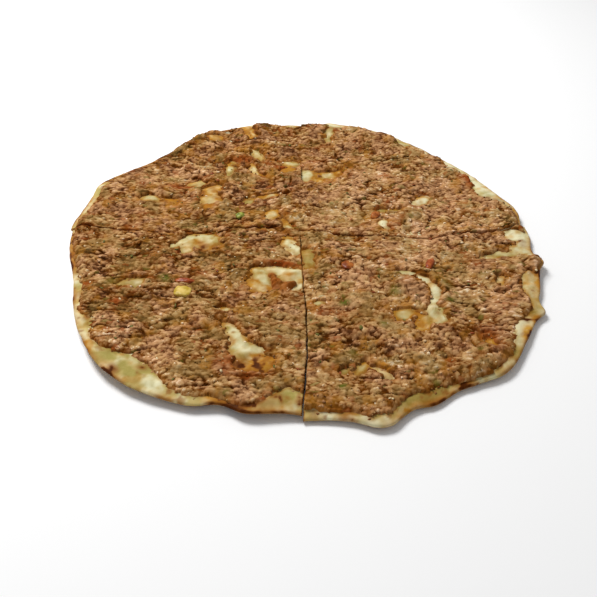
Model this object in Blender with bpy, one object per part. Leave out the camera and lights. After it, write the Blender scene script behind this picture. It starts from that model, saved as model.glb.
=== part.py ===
"""Lahmacun cut into four quarters: a thin round flatbread under a layer of spiced minced meat.

The frame is in metres with +Z up. The origin is on the floor under the middle of the bread, +X is
the right and -Y the front. Each quarter is two pieces, the dough and the meat that lies on it. Both
use one grid of levels, square steps from the quarter's tip to its rim, so that the meat's underside
follows the dough's upper face at a constant gap.
"""

import math

import bmesh
import bpy
import numpy as np
from mathutils import Euler, Vector

MM = 0.001

# Driving sizes.
BREAD_RADIUS = 151.5 * MM
DOUGH = 3.6 * MM
RIM_PUFF = 0.9 * MM
LIP = 1.0 * MM
MEAT = 3.6 * MM
MEAT_EDGE = 2.0 * MM
MEAT_INSET = 1.8 * MM
KERF = 1.0 * MM
AIR = 0.4 * MM

# The rim leaves the floor beyond this share of the radius.
FLAT_SHARE = 0.72

# Each quarter runs from its end of the cut across to its end of the cut down, in degrees.
SPANS = {
    "back_right": (0, 90),
    "back_left": (180, 90),
    "front_left": (180, 270),
    "front_right": (360, 270),
}
# Two cuts that bend are met by stepping towards the crossing this many times.
STEPS_TO_MEET = 6

# Levels of the grid under the meat, and those of the bare rim outside it.
MEAT_LEVELS = 12
RIM_LEVELS = 2
LEVELS = MEAT_LEVELS + RIM_LEVELS

# The cut across runs nearly straight left to right: its middle, how far its ends bend back, and its
# waves as (x mm, half width mm, shift mm).
ACROSS_MIDDLE = 4.5 * MM
ACROSS_BOW = 7.0 * MM
ACROSS_WAVES = (
    (-14, 22, 7.0),
    (-44, 13, 4.6),
    (-76, 10, -1.0),
    (-104, 14, 1.0),
    (84, 12, -2.2),
    (160, 26, 9.0),
)

# The cut from the back to the front bulges to the right in its front half.
DOWN_MIDDLE = 0.0
DOWN_BULGE = 4.2 * MM
DOWN_BULGE_AT = -95 * MM
DOWN_BULGE_LENGTH = 60 * MM

# Swells and flats are (angle degrees, half width degrees, height mm), counted from +X towards +Y.
# Outline: how far the rim stands out from the mean circle, for each quarter.
OUTLINE = {
    "back_right": ((6, 3.5, -3.0), (26, 12, -4.2), (46, 10, -2.0), (75, 16, 4.5)),
    "back_left": ((102, 4, 5.5), (117, 7, 5.5), (139, 8, -4.0), (156, 6, 5.0), (173, 5, 1.0)),
    "front_left": ((196, 13, -7.4), (232, 14, 7.2), (254, 4, -4.5), (268, 7, -4.8)),
    "front_right": ((286, 5, 8.5), (297, 4, 3.5), (315, 9, 9.2), (331, 9, 3.5), (360, 6, -2.5)),
}
# Bare rim: how far the meat stays back from the outline, beyond its usual inset.
BARE_RIM = {
    "back_right": ((23, 7, 11), (39.5, 3, 4), (49, 3, 4), (58, 2.5, 6), (80.5, 3, 7)),
    "back_left": ((93, 3, 3), (106, 3, 5), (141, 5, 1.5), (160, 12, 3)),
    "front_left": ((188, 8, 0.8), (203, 5, 3), (214, 3.5, 5.5), (233, 9, 17), (250, 3, 2.5), (268, 5.5, 14)),
    "front_right": ((272, 4, 3), (286, 10, 3.5), (318, 4, 3.5), (327, 4, 6.5), (342, 4, 9), (356, 5, 8)),
}
# Curl: how high the rim's underside stands off the floor.
CURL = {
    "back_right": ((22, 16, 3.5), (78, 28, 4.2)),
    "back_left": ((100, 26, 4.2), (155, 18, 2.5)),
    "front_left": ((228, 20, 4.5), (262, 12, 3.0)),
    "front_right": ((285, 12, 1.5), (320, 14, 2.0), (350, 12, 3.0)),
}
CURL_EVERYWHERE = 0.6 * MM

# Bare patches, where the dough shows through a hole in the meat as a flat blister:
# (x mm, y mm, half length mm, half width mm, turn degrees, rise mm).
PATCHES = {
    "back_right": (
        (7.5, 78.5, 8, 3.5, 80, 0.8),
        (56, 18.5, 5, 3.5, 90, 1.2),
        (83.5, 46, 7, 4.5, 50, 0.8),
        (21, 130, 10, 4, 88, 0.6),
    ),
    "back_left": (
        (-103.5, 45.5, 6.5, 4, 10, 1.0),
        (-63.5, 49, 10.5, 4, 82, 0.8),
        (-67.5, 127.5, 4.5, 3.5, 0, 0.8),
        (-19.5, 27, 6, 3.5, 60, 1.0),
    ),
    "front_left": (
        (-68.5, -9, 10, 7, 20, 2.0),
        (-7.5, -6, 7.5, 3.2, -58, 0.8),
        (-17, -38.5, 12.5, 6, -12, 1.4),
        (-101.5, -47.5, 7, 4.5, 5, 2.0),
        (-33.5, -94, 12, 4.2, -62, 1.2),
    ),
    "front_right": (
        (77, -51, 11, 2.8, -82, 1.2),
        (60, -73, 6, 3.2, 10, 0.8),
        (79.5, -76, 8, 4.5, 20, 1.0),
        (33.5, -116, 12, 3, -10, 0.8),
    ),
}
PATCH_SIDES = 12
PATCH_WOBBLES = ((3, 0.12), (2, 0.08))
BLISTER_SPREAD = 1.6

# Mounds, where the meat is heaped: (x mm, y mm, half width mm, height mm).
MOUNDS = {
    "back_right": ((7, 140, 11, 1.8), (44, 136, 11, 2.0), (70, 30, 10, 1.6), (104, 102, 10, 1.6)),
    "back_left": ((-34, 138, 10, 1.8), (-88, 114, 10, 1.8), (-8, 72, 12, 1.0)),
    "front_left": ((-46, -20, 12, 1.0), (-96, -82, 11, 1.0), (-12, -72, 10, 1.0)),
    "front_right": ((70, -46, 9, 1.8), (143, -20, 8, 1.6), (106, -62, 12, 1.0), (36, -86, 12, 1.0)),
}

# Diced vegetables half sunk in the meat: name to (x mm, y mm, length mm, width mm, height mm, turn).
DICE = {
    "pepper_yellow": (-69.5, -56.0, 10.5, 9, 3.2, 12),
    "pepper_red_strip": (-69.3, -46.2, 12, 3.6, 2.4, -4),
    "pepper_red": (80.4, -27.4, 12.5, 4.6, 2.8, 64),
    "tomato_front": (30, -28.5, 9, 8, 3.0, 15),
    "tomato_back": (50.5, 27.5, 8, 6, 3.0, 70),
    "pepper_green": (-40.5, 24.5, 6.5, 5, 2.6, 30),
}
DICE_OF = {
    "pepper_yellow": "front_left",
    "pepper_red_strip": "front_left",
    "pepper_red": "front_right",
    "tomato_front": "front_right",
    "tomato_back": "back_right",
    "pepper_green": "back_left",
}
DICE_SHOWS = 1.3 * MM
DICE_ROUNDING = 0.9 * MM

# Guides that cut run from below the floor to well over the meat.
CUT_FROM = -10 * MM
CUT_TO = 30 * MM

# Lumps of the meat and waves of the dough: (wavelength mm, direction degrees, phase degrees, height mm).
LUMPS = ((47, 20, 40, 0.45), (36, 105, 10, 0.4), (41, 160, 200, 0.4), (30, 60, 80, 0.3))
WAVES = ((120, 35, 60, 0.5), (95, 130, 0, 0.4), (70, 85, 150, 0.3))

# Finishes: roughness, and colours as linear red, green and blue.
DOUGH_ROUGHNESS = 0.75
MEAT_ROUGHNESS = 0.5
DICE_ROUGHNESS = 0.35
SHARP_ANGLE = 40
DOUGH_COLOUR = (0.70, 0.57, 0.30)
MEAT_COLOUR = (0.30, 0.155, 0.072)
RED_COLOUR = (0.36, 0.06, 0.02)
ORANGE_COLOUR = (0.42, 0.12, 0.025)
YELLOW_COLOUR = (0.70, 0.46, 0.12)
GREEN_COLOUR = (0.14, 0.19, 0.03)
DICE_COLOURS = {
    "pepper_yellow": YELLOW_COLOUR,
    "pepper_red_strip": RED_COLOUR,
    "pepper_red": RED_COLOUR,
    "tomato_front": ORANGE_COLOUR,
    "tomato_back": ORANGE_COLOUR,
    "pepper_green": GREEN_COLOUR,
}


def bell(distance, half_width):
    """1 at distance 0, falling smoothly to nearly 0 at twice the half width."""
    return np.exp(-((distance / half_width) ** 2))


def swells(table, angle):
    """The sum in metres of a table's swells at an angle in degrees."""
    return sum(height * MM * bell(angle - at, width) for at, width, height in table)


def ripple(table, x, y):
    """The sum in metres of a table's plane waves at x, y."""
    total = 0.0
    for length, direction, phase, height in table:
        turn = math.radians(direction)
        along = x * math.cos(turn) + y * math.sin(turn)
        total = total + height * MM * np.sin(2 * math.pi * along / (length * MM) + math.radians(phase))
    return total


def across_y(x):
    """The middle line of the cut that runs left to right."""
    waves = sum(shift * MM * bell(x - at * MM, width * MM) for at, width, shift in ACROSS_WAVES)
    return ACROSS_MIDDLE + ACROSS_BOW * (x / BREAD_RADIUS) ** 4 + waves


def down_x(y):
    """The middle line of the cut that runs back to front."""
    return DOWN_MIDDLE + DOWN_BULGE * bell(y - DOWN_BULGE_AT, DOWN_BULGE_LENGTH)


def sides_of(quarter):
    """Which side of the two cuts a quarter is on, as signs in x and y."""
    return (1 if "right" in quarter else -1), (1 if "back" in quarter else -1)


def angle_near(x, y, about):
    """The angle of a point in degrees, counted so that it lies within half a turn of another."""
    angle = math.degrees(math.atan2(y, x))
    return angle + 360 * round((about - angle) / 360)


def rim_radius(quarter, angle):
    """The outline's distance from the middle of the bread."""
    return BREAD_RADIUS + swells(OUTLINE[quarter], angle)


def angles_of(quarter):
    """The angles in degrees of the rim's ends: on the cut across, then on the cut down."""
    right, back = sides_of(quarter)
    start, end = SPANS[quarter]
    for _ in range(STEPS_TO_MEET):
        x = rim_radius(quarter, start) * math.cos(math.radians(start))
        start = angle_near(x, across_y(x) + back * KERF / 2, start)
        y = rim_radius(quarter, end) * math.sin(math.radians(end))
        end = angle_near(down_x(y) + right * KERF / 2, y, end)
    return start, end


def tip_of(quarter):
    """The corner where the quarter's two cuts cross."""
    right, back = sides_of(quarter)
    x, y = 0.0, ACROSS_MIDDLE
    for _ in range(STEPS_TO_MEET):
        x = down_x(y) + right * KERF / 2
        y = across_y(x) + back * KERF / 2
    return x, y


def plan_of(quarter):
    """The grid's x and y as arrays [along the cut across, along the cut down], and each point's angle.

    A point's level is the larger of its two indices, and the smaller one over it gives the angle, so
    that level lines are the arcs of a quarter disc and the cells stay nearly square.
    """
    right, back = sides_of(quarter)
    tip_x, tip_y = tip_of(quarter)
    start, end = angles_of(quarter)
    i, j = np.meshgrid(np.arange(LEVELS + 1), np.arange(LEVELS + 1), indexing="ij")
    level = np.maximum(i, j)
    lower = np.minimum(i, j) / np.maximum(level, 1)
    turn = np.where(i >= j, lower / 2, 1 - lower / 2)
    angle = start + (end - start) * turn
    rim = rim_radius(quarter, angle)
    meat = rim - MEAT_INSET - swells(BARE_RIM[quarter], angle)
    outside = np.clip((level - MEAT_LEVELS) / RIM_LEVELS, 0, 1)
    reach = np.where(level <= MEAT_LEVELS, meat, meat + (rim - LIP - meat) * outside)
    share = np.minimum(level / MEAT_LEVELS, 1.0)
    x = tip_x + share * (reach * np.cos(np.radians(angle)) - tip_x)
    y = tip_y + share * (reach * np.sin(np.radians(angle)) - tip_y)
    to_across = across_y(x) + back * KERF / 2 - y
    to_down = down_x(y) + right * KERF / 2 - x
    on_across = np.where(turn < 0.5, (1 - 2 * turn) ** 2, 0.0)
    on_down = np.where(turn > 0.5, (2 * turn - 1) ** 2, 0.0)
    edge_across = to_across[:, :1]
    edge_down = to_down[:1, :]
    y = y + on_across * np.broadcast_to(edge_across, y.shape)
    x = x + on_down * np.broadcast_to(edge_down, x.shape)
    return x, y, angle


def heights_of(quarter, x, y, angle):
    """The dough's underside and upper face over a plan, as two arrays of z."""
    outer = np.clip((np.hypot(x, y) / rim_radius(quarter, angle) - FLAT_SHARE) / (1 - FLAT_SHARE), 0, 1)
    under = (CURL_EVERYWHERE + swells(CURL[quarter], angle)) * outer**2
    blisters = 0.0
    for at_x, at_y, length, width, turn, rise in PATCHES[quarter]:
        dx, dy = x - at_x * MM, y - at_y * MM
        cos, sin = math.cos(math.radians(turn)), math.sin(math.radians(turn))
        along = (dx * cos + dy * sin) / (length * MM * BLISTER_SPREAD)
        over = (dy * cos - dx * sin) / (width * MM * BLISTER_SPREAD)
        blisters = blisters + rise * MM * np.exp(-(along**2) - over**2)
    top = under + DOUGH + RIM_PUFF * outer**4 + ripple(WAVES, x, y) * (1 - outer) + blisters
    return under, top


def meat_thickness(quarter, x, y):
    """The meat's full height over the dough, with its lumps and mounds."""
    mounds = 0.0
    for at_x, at_y, width, height in MOUNDS[quarter]:
        mounds = mounds + height * MM * bell(np.hypot(x - at_x * MM, y - at_y * MM), width * MM)
    return MEAT + ripple(LUMPS, x, y) + mounds


def mesh_object(name, points, faces, colour, roughness):
    """One closed mesh as an object with its own material."""
    mesh = bpy.data.meshes.new(name)
    mesh.from_pydata(points.tolist(), [], faces)
    shape = bmesh.new()
    shape.from_mesh(mesh)
    bmesh.ops.recalc_face_normals(shape, faces=shape.faces)
    shape.to_mesh(mesh)
    shape.free()
    mesh.shade_smooth()
    mesh.set_sharp_from_angle(angle=math.radians(SHARP_ANGLE))
    mesh.materials.append(finish(name, colour, roughness))
    obj = bpy.data.objects.new(name, mesh)
    bpy.context.scene.collection.objects.link(obj)
    return obj


def finish(name, colour, roughness):
    """A plain food surface."""
    material = bpy.data.materials.new(name)
    material.use_nodes = True
    shader = material.node_tree.nodes["Principled BSDF"]
    shader.inputs["Base Color"].default_value = (*colour, 1.0)
    shader.inputs["Roughness"].default_value = roughness
    shader.inputs["Metallic"].default_value = 0.0
    return material


def rim_walk(count):
    """Grid indices along the outer level, from the cut across to the cut down."""
    return [(count, j) for j in range(count + 1)] + [(i, count) for i in range(count - 1, -1, -1)]


def slab(name, top, bottom, lip, colour, roughness):
    """A closed piece between two grids of points, with a rounded lip on its rim if one is given."""
    count = top.shape[0] - 1
    stride = count + 1
    below = stride * stride
    points = [top.reshape(-1, 3), bottom.reshape(-1, 3)]
    faces = []
    for i in range(count):
        for j in range(count):
            a, b = i * stride + j, (i + 1) * stride + j
            c, d = b + 1, a + 1
            for first, second in ((b, c), (c, d)):
                faces += [(a, first, second), (below + a, below + second, below + first)]
    for k in range(count):
        for first, second in (((k + 1) * stride, k * stride), (k, k + 1)):
            faces += [(first, second, below + second), (first, below + second, below + first)]
    walk = [i * stride + j for i, j in rim_walk(count)]
    rows = [walk, [below + w for w in walk]]
    if lip is not None:
        points.append(lip)
        middle = list(range(2 * below, 2 * below + len(walk)))
        rows.insert(1, middle)
        for end in (0, -1):
            corner = (walk[end], middle[end], below + walk[end])
            faces.append(corner if end else corner[::-1])
    for upper, lower in zip(rows, rows[1:]):
        for k in range(len(walk) - 1):
            faces += [(upper[k], lower[k], lower[k + 1]), (upper[k], lower[k + 1], upper[k + 1])]
    return mesh_object(name, np.concatenate(points), faces, colour, roughness)


def stack(x, y, z):
    """Three arrays as one array of points."""
    return np.stack([x, y, z], axis=-1)


def build_dough(quarter):
    """The bread under one quarter, flat below in its middle and curled up at its rim."""
    x, y, angle = plan_of(quarter)
    under, upper = heights_of(quarter, x, y, angle)
    walk = tuple(np.array(rim_walk(LEVELS)).T)
    middle = (under[walk] + upper[walk]) / 2
    out = np.stack([np.cos(np.radians(angle[walk])), np.sin(np.radians(angle[walk]))], axis=-1)
    out[0, 1] = 0.0
    out[-1, 0] = 0.0
    lip = stack(x[walk] + out[:, 0] * LIP, y[walk] + out[:, 1] * LIP, middle)
    slab(f"dough_{quarter}", stack(x, y, upper), stack(x, y, under), lip, DOUGH_COLOUR, DOUGH_ROUGHNESS)


def prism(shape, ring, low, high):
    """Adds an upright closed prism over a ring of x, y points to a bmesh."""
    lower = [shape.verts.new((px, py, low)) for px, py in ring]
    upper = [shape.verts.new((px, py, high)) for px, py in ring]
    shape.faces.new(lower[::-1])
    shape.faces.new(upper)
    for k, point in enumerate(lower):
        following = (k + 1) % len(ring)
        shape.faces.new((point, lower[following], upper[following], upper[k]))


def patch_ring(at_x, at_y, length, width, turn):
    """The outline of a bare patch: an ellipse with a slow wobble, so that no two look alike."""
    cos, sin = math.cos(math.radians(turn)), math.sin(math.radians(turn))
    ring = []
    for k in range(PATCH_SIDES):
        step = 2 * math.pi * k / PATCH_SIDES
        wobble = 1 + sum(share * math.sin(waves * step + at_x) for waves, share in PATCH_WOBBLES)
        along, over = length * wobble * math.cos(step), width * wobble * math.sin(step)
        ring.append(((at_x + along * cos - over * sin) * MM, (at_y + along * sin + over * cos) * MM))
    return ring


def box_of(shape, size, place, turn):
    """Adds a box of the given size to a bmesh, and gives its vertices."""
    made = bmesh.ops.create_cube(shape, size=1.0)["verts"]
    bmesh.ops.scale(shape, vec=Vector(size), verts=made)
    bmesh.ops.rotate(shape, matrix=Euler((0, 0, math.radians(turn))).to_matrix(), verts=made)
    bmesh.ops.translate(shape, vec=Vector(place), verts=made)
    return made


def dice_place(name):
    """The middle of a diced piece, which shows above the meat by a set height."""
    at_x, at_y, _, _, height, _ = DICE[name]
    x, y = at_x * MM, at_y * MM
    angle = math.degrees(math.atan2(y, x)) % 360.0
    _, dough_top = heights_of(DICE_OF[name], x, y, angle)
    meat_top = dough_top + AIR + meat_thickness(DICE_OF[name], x, y)
    return x, y, meat_top + DICE_SHOWS - height * MM / 2


def build_dice(name):
    """A small cut of vegetable with rounded edges."""
    _, _, length, width, height, turn = DICE[name]
    shape = bmesh.new()
    box_of(shape, (length * MM, width * MM, height * MM), (0, 0, 0), 0)
    bmesh.ops.bevel(shape, geom=shape.edges[:], offset=DICE_ROUNDING, segments=1, affect="EDGES")
    bmesh.ops.triangulate(shape, faces=shape.faces)
    mesh = bpy.data.meshes.new(name)
    shape.to_mesh(mesh)
    shape.free()
    mesh.materials.append(finish(name, DICE_COLOURS[name], DICE_ROUGHNESS))
    obj = bpy.data.objects.new(name, mesh)
    obj.location = dice_place(name)
    obj.rotation_euler = (0, 0, math.radians(turn))
    bpy.context.scene.collection.objects.link(obj)


def build_cutter(quarter):
    """The holes over the bare patches and the pockets of the diced pieces, as one hidden guide."""
    shape = bmesh.new()
    for at_x, at_y, length, width, turn, _ in PATCHES[quarter]:
        prism(shape, patch_ring(at_x, at_y, length, width, turn), CUT_FROM, CUT_TO)
    for name in [dice for dice, home in DICE_OF.items() if home == quarter]:
        x, y, z = dice_place(name)
        _, _, length, width, height, turn = DICE[name]
        pocket_z = z - height * MM / 2 - AIR
        size = (length * MM + 2 * AIR, width * MM + 2 * AIR, CUT_TO - pocket_z)
        box_of(shape, size, (x, y, (pocket_z + CUT_TO) / 2), turn)
    bmesh.ops.recalc_face_normals(shape, faces=shape.faces)
    name = f"holes_{quarter}"
    mesh = bpy.data.meshes.new(name)
    shape.to_mesh(mesh)
    shape.free()
    guide = bpy.data.objects.new(name, mesh)
    guide.hide_render = True
    guide.display_type = "WIRE"
    bpy.context.scene.collection.objects.link(guide)
    return guide


def build_topping(quarter):
    """The meat on one quarter, with its holes and pockets cut."""
    x, y, angle = plan_of(quarter)
    _, dough_top = heights_of(quarter, x, y, angle)
    inner = slice(0, MEAT_LEVELS + 1)
    x, y, dough_top = x[inner, inner], y[inner, inner], dough_top[inner, inner]
    level = np.maximum(*np.meshgrid(np.arange(MEAT_LEVELS + 1), np.arange(MEAT_LEVELS + 1), indexing="ij"))
    underside = dough_top + AIR
    inside = np.clip(MEAT_LEVELS - level, 0, 1)
    top = underside + MEAT_EDGE + (meat_thickness(quarter, x, y) - MEAT_EDGE) * inside
    upper, lower = stack(x, y, top), stack(x, y, underside)
    meat = slab(f"topping_{quarter}", upper, lower, None, MEAT_COLOUR, MEAT_ROUGHNESS)
    cut = meat.modifiers.new("holes", "BOOLEAN")
    cut.operation = "DIFFERENCE"
    cut.solver = "EXACT"
    cut.object = build_cutter(quarter)


def main():
    """Clears the scene and builds every piece."""
    for obj in list(bpy.data.objects):
        bpy.data.objects.remove(obj)
    for quarter in OUTLINE:
        build_dough(quarter)
        build_topping(quarter)
    for name in DICE:
        build_dice(name)


main()
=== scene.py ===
"""Lahmacun cut into four quarters: thin baked bread under a crumbly layer of spiced minced meat.

Lengths in the tables and formulas are millimetres, with the origin on the floor under the middle of
the bread, +X to the right, +Y to the back and +Z up. Every mesh is turned to metres as it is made.
"""

import logging
import math
from dataclasses import dataclass
from enum import Enum
from typing import Any, NamedTuple

import bpy
import numpy as np
from mathutils import Matrix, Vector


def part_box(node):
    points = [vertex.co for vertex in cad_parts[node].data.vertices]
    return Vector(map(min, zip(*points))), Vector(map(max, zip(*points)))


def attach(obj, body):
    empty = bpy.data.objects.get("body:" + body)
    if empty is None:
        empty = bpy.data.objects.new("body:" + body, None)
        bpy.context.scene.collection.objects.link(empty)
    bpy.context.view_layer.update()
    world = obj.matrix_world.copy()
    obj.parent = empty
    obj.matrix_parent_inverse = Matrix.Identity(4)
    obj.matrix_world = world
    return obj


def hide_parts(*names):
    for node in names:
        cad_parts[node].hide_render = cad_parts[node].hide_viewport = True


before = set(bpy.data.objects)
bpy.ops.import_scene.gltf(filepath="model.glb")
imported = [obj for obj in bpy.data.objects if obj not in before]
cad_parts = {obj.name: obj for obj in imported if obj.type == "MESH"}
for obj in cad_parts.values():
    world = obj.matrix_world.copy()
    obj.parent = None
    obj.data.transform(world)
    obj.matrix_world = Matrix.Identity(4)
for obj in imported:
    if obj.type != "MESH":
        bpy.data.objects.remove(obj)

Array = np.ndarray
Bells = tuple[tuple[float, float, float], ...]
Waves = tuple[tuple[float, float, float, float], ...]
Humps = tuple[tuple[float, float, float, float], ...]
Box = tuple[float, float, float, float]

MM = 0.001
BAKE_SHEET = "OFBake"
HASH_MASK = 0xFFFFFFFF

# The bread and the meat on it, as in the frame.
BREAD_RADIUS = 151.5
DOUGH = 3.6
RIM_PUFF = 0.9
EDGE_THINNING = 1.9
MEAT = 3.6
FLAT_SHARE = 0.72
CURL_EVERYWHERE = 0.6
UNDER_RISE = 0.25
RIM_MM_A_DEGREE = 2.6
LUMPS: Waves = ((47, 20, 40, 0.45), (36, 105, 10, 0.4), (41, 160, 200, 0.4), (30, 60, 80, 0.3))
WAVES: Waves = ((120, 35, 60, 0.5), (95, 130, 0, 0.4), (70, 85, 150, 0.3))

# The two cuts. Behind the middle the cut from front to back has closed again, by a small overlap.
KERF = 1.0
CUT_WAVER = 0.5
ACROSS_START = 4.5
ACROSS_LIFT = 7.0
ACROSS_WAVES: Bells = (
    (-14, 22, 7.0),
    (-44, 13, 4.6),
    (-76, 10, -1.0),
    (-104, 14, 1.0),
    (84, 12, -1.0),
    (160, 26, 10.0),
)
DOWN_BULGE, DOWN_BULGE_Y, DOWN_BULGE_WIDTH = 4.2, -95, 60
OVERLAP = 0.06
WIDER_IN_FRONT = 0.35
LEAST_GAP = 0.04
CLOSED_OFF = 1.3
STEPS_TO_MEET = 6

# The edges of the meat, outside and round the bare patches.
MEAT_INSET = 1.8
EDGE_BACK = 0.4
EDGE_WAVER = 0.8
PATCH_RAGS = 1.6
PATCH_BEND = 2.2

# The meat's relief. No crumb stands above HIGHEST, and heaps are rounded off from a little below it.
CLUMP_RISE = 0.9
CRUMB_RISE = 1.05
GRANULE_RISE = 0.4
KNOB_RISE = 0.7
LEDGE_RISE = 0.8
LIP_RISE = 0.8
FURROW = 1.1
SEAM_DIP = 0.7
MEAN_RELIEF = 1.6
EDGE_ROUNDING = 1.5
BARE_DIP = 0.25
HIGHEST = 11.9
ROUND_OFF = 0.6

# Where the meat is lighter or darker, partly from cooking and partly painted light and shade: x, y, half
# width and how much lighter.
COOKED_AND_LIT: Humps = (
    (-100, -65, 40, -0.06),
    (40, -135, 34, -0.065),
    (-45, 100, 40, -0.055),
    (-95, 25, 40, 0.025),
    (45, 25, 45, 0.055),
    (0, -90, 40, 0.01),
    (115, 20, 40, 0.02),
)


def bell(distance: Array | float, half_width: float) -> Array:
    """1 at distance 0, falling as exp(-(distance / half width)^2)."""
    return np.exp(-((np.asarray(distance) / half_width) ** 2))


def ease(value: Array) -> Array:
    """0 below 0, 1 above 1, and 3v^2 - 2v^3 between."""
    held = np.clip(value, 0, 1)
    return held * held * (3 - 2 * held)


def ramp(value: Array, start: float, end: float) -> Array:
    """0 up to the start and 1 from the end on, eased between, in whichever direction they lie."""
    return ease((value - start) / (end - start))


def at_least(low: float, share: Array) -> Array:
    """A share that runs from low to 1 instead of from 0."""
    return low + (1 - low) * share


def along(x: Array, y: Array, degrees: float) -> Array:
    """How far a place lies in a direction: x cos + y sin of its angle."""
    return x * math.cos(math.radians(degrees)) + y * math.sin(math.radians(degrees))


def lattice_value(column: Array, row: Array, seed: int) -> Array:
    """A fixed value from 0 to 1 for each square of a lattice.

    The two whole numbers and the seed are multiplied by large odd numbers, added, and mixed by
    shifts and further products, all within 32 bits.

    Args:
        column: whole numbers of the squares in x.
        row: whole numbers of the squares in y.
        seed: tells one set of values from another.

    Returns:
        One value for each square.
    """
    mixed = column.astype(np.int64) * 374761393 + row.astype(np.int64) * 668265263 + seed * 974634777
    mixed = mixed & HASH_MASK
    mixed = ((mixed ^ (mixed >> 13)) * 1274126177) & HASH_MASK
    mixed = ((mixed ^ (mixed >> 16)) * 1911520717) & HASH_MASK
    return (mixed ^ (mixed >> 15)) / HASH_MASK


@dataclass(frozen=True)
class Noise:
    """Smooth noise: the width of its squares, its seed, its octaves, and how it turns to patches."""

    size: float
    seed: int
    octaves: int = 2
    gain: float = 1.0
    level: float = 0.0

    def at(self, x: Array, y: Array) -> Array:
        """The noise, from about -1 to 1.

        Lattice values at a square's four corners are blended with the weight 3f^2 - 2f^3 in x and
        in y. Each further octave has half the size and half the strength.

        Args:
            x: places in x.
            y: places in y.

        Returns:
            The noise at each place.
        """
        total = np.zeros(np.shape(x))
        weight = 0.0
        for octave in range(self.octaves):
            scale, seed = self.size / 2**octave, self.seed + octave
            column, row = np.floor(x / scale), np.floor(y / scale)
            over_x, over_y = ease(x / scale - column), ease(y / scale - row)
            near = lattice_value(column, row, seed) * (1 - over_x)
            near = near + lattice_value(column + 1, row, seed) * over_x
            far = lattice_value(column, row + 1, seed) * (1 - over_x)
            far = far + lattice_value(column + 1, row + 1, seed) * over_x
            total = total + (2 * (near * (1 - over_y) + far * over_y) - 1) / 2**octave
            weight += 1 / 2**octave
        return total / weight

    def patches(self, x: Array, y: Array) -> Array:
        """Soft-edged patches from 0 to 1: ease(level + gain * noise)."""
        return ease(self.level + self.gain * self.at(x, y))


# The noises that shape the cuts and the dough.
CUT_DOWN_WAVER = Noise(7.0, 45)
CUT_ACROSS_WAVER = Noise(8.0, 46)
CUT_WANDER = Noise(22.0, 48)
HILLS = Noise(8.5, 50)
BUMPS = Noise(3.4, 52)
RAGGED_RIM = Noise(9.0, 90)
RAISED_BELOW = Noise(12.0, 92)

# Those that shape the meat.
MEAT_EDGE = Noise(6.0, 60)
PATCH_EDGE = Noise(3.6, 62)
BEND_X, BEND_Y = Noise(6.5, 64), Noise(6.5, 66)
FURROWS = Noise(13.0, 68, 3)
FURROWED = Noise(19.0, 69, 1, 1.5, 0.4)
LEDGES = Noise(24.0, 71, 3)
KNOBS = Noise(9.0, 73, 3)
LIPS = Noise(9.0, 93, 2, 1.6, 0.5)
COARSE = Noise(26.0, 94, 2, 1.6, 0.5)
SEAMED = Noise(14.0, 95, 2, 1.5, 0.6)

# Those that colour the meat.
TONE_WIDE, TONE_FINE = Noise(18.0, 70, 3), Noise(5.0, 72)
HUES = Noise(10.0, 78, 3)
OILY = Noise(7.0, 74)
REDDENED = Noise(9.0, 77, 3, 2.4, -0.7)
GILDED = Noise(7.0, 76, 3, 2.6, -0.45)
GILDED_EDGE = Noise(5.0, 79, 2, 1.0, 0.6)

# Those that colour the bread.
BLOTCHES = Noise(11.0, 80, 3)
OLIVE_MOTTLE, OLIVE_FLECKS = Noise(4.0, 83), Noise(3.6, 88)
PALE_MOTTLE, PALE_FLECKS = Noise(3.5, 84), Noise(2.6, 86)
OIL_FLECKS = Noise(4.2, 89)
OIL_DROPS = Noise(6.0, 87, 2, 2.5, -0.8)
OVEN_SPOTS = Noise(14.0, 82, 3, 2.2, -0.2)
TOASTED = Noise(3.4, 81, 3, 2.4, 0.15)
FRECKLES = Noise(4.5, 85, 2, 3.2, -1.1)
BROWNED_EDGE = Noise(3.0, 91, 2, 2.0, 0.8)


def ring_bells(table: Bells, angle: Array | float) -> Array:
    """The sum of bells round the bread, each (angle, half width, height), with angles in degrees."""
    return sum(height * bell((angle - at + 180.0) % 360.0 - 180.0, width) for at, width, height in table)


def humps(table: Humps, x: Array, y: Array) -> Array:
    """The sum of round bells, each (x, y, half width, height)."""
    return sum(height * bell(np.hypot(x - at_x, y - at_y), width) for at_x, at_y, width, height in table)


def plane_waves(table: Waves, x: Array, y: Array) -> Array:
    """The sum of straight sine waves.

    Args:
        table: (wavelength, direction in degrees, phase in degrees, height) of each wave.
        x: places in x.
        y: places in y.

    Returns:
        The summed height.
    """
    total = np.zeros(np.shape(x))
    for length, direction, phase, height in table:
        turn = 2 * math.pi * along(x, y, direction) / length
        total = total + height * np.sin(turn + math.radians(phase))
    return total


def across_y(x: Array | float) -> Array:
    """The cut from left to right: start + lift (x / radius)^4, with shallow bells and a waver."""
    lifted = ACROSS_START + ACROSS_LIFT * (np.asarray(x) / BREAD_RADIUS) ** 4
    bells = sum(shift * bell(x - at, width) for at, width, shift in ACROSS_WAVES)
    return lifted + bells + CUT_WAVER * CUT_ACROSS_WAVER.at(x, x * 0)


def down_x(y: Array | float) -> Array:
    """The cut from back to front: a fine waver, and a bulge to the right in the front half."""
    bulge = DOWN_BULGE * bell(np.asarray(y) - DOWN_BULGE_Y, DOWN_BULGE_WIDTH)
    return bulge + CUT_WAVER * CUT_DOWN_WAVER.at(y, y * 0)


def closed(y: Array | float) -> Array:
    """How far the cut from back to front has closed: 0 in front, and 1 from just behind the middle."""
    return ramp(np.asarray(y), -3, 5)


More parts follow.
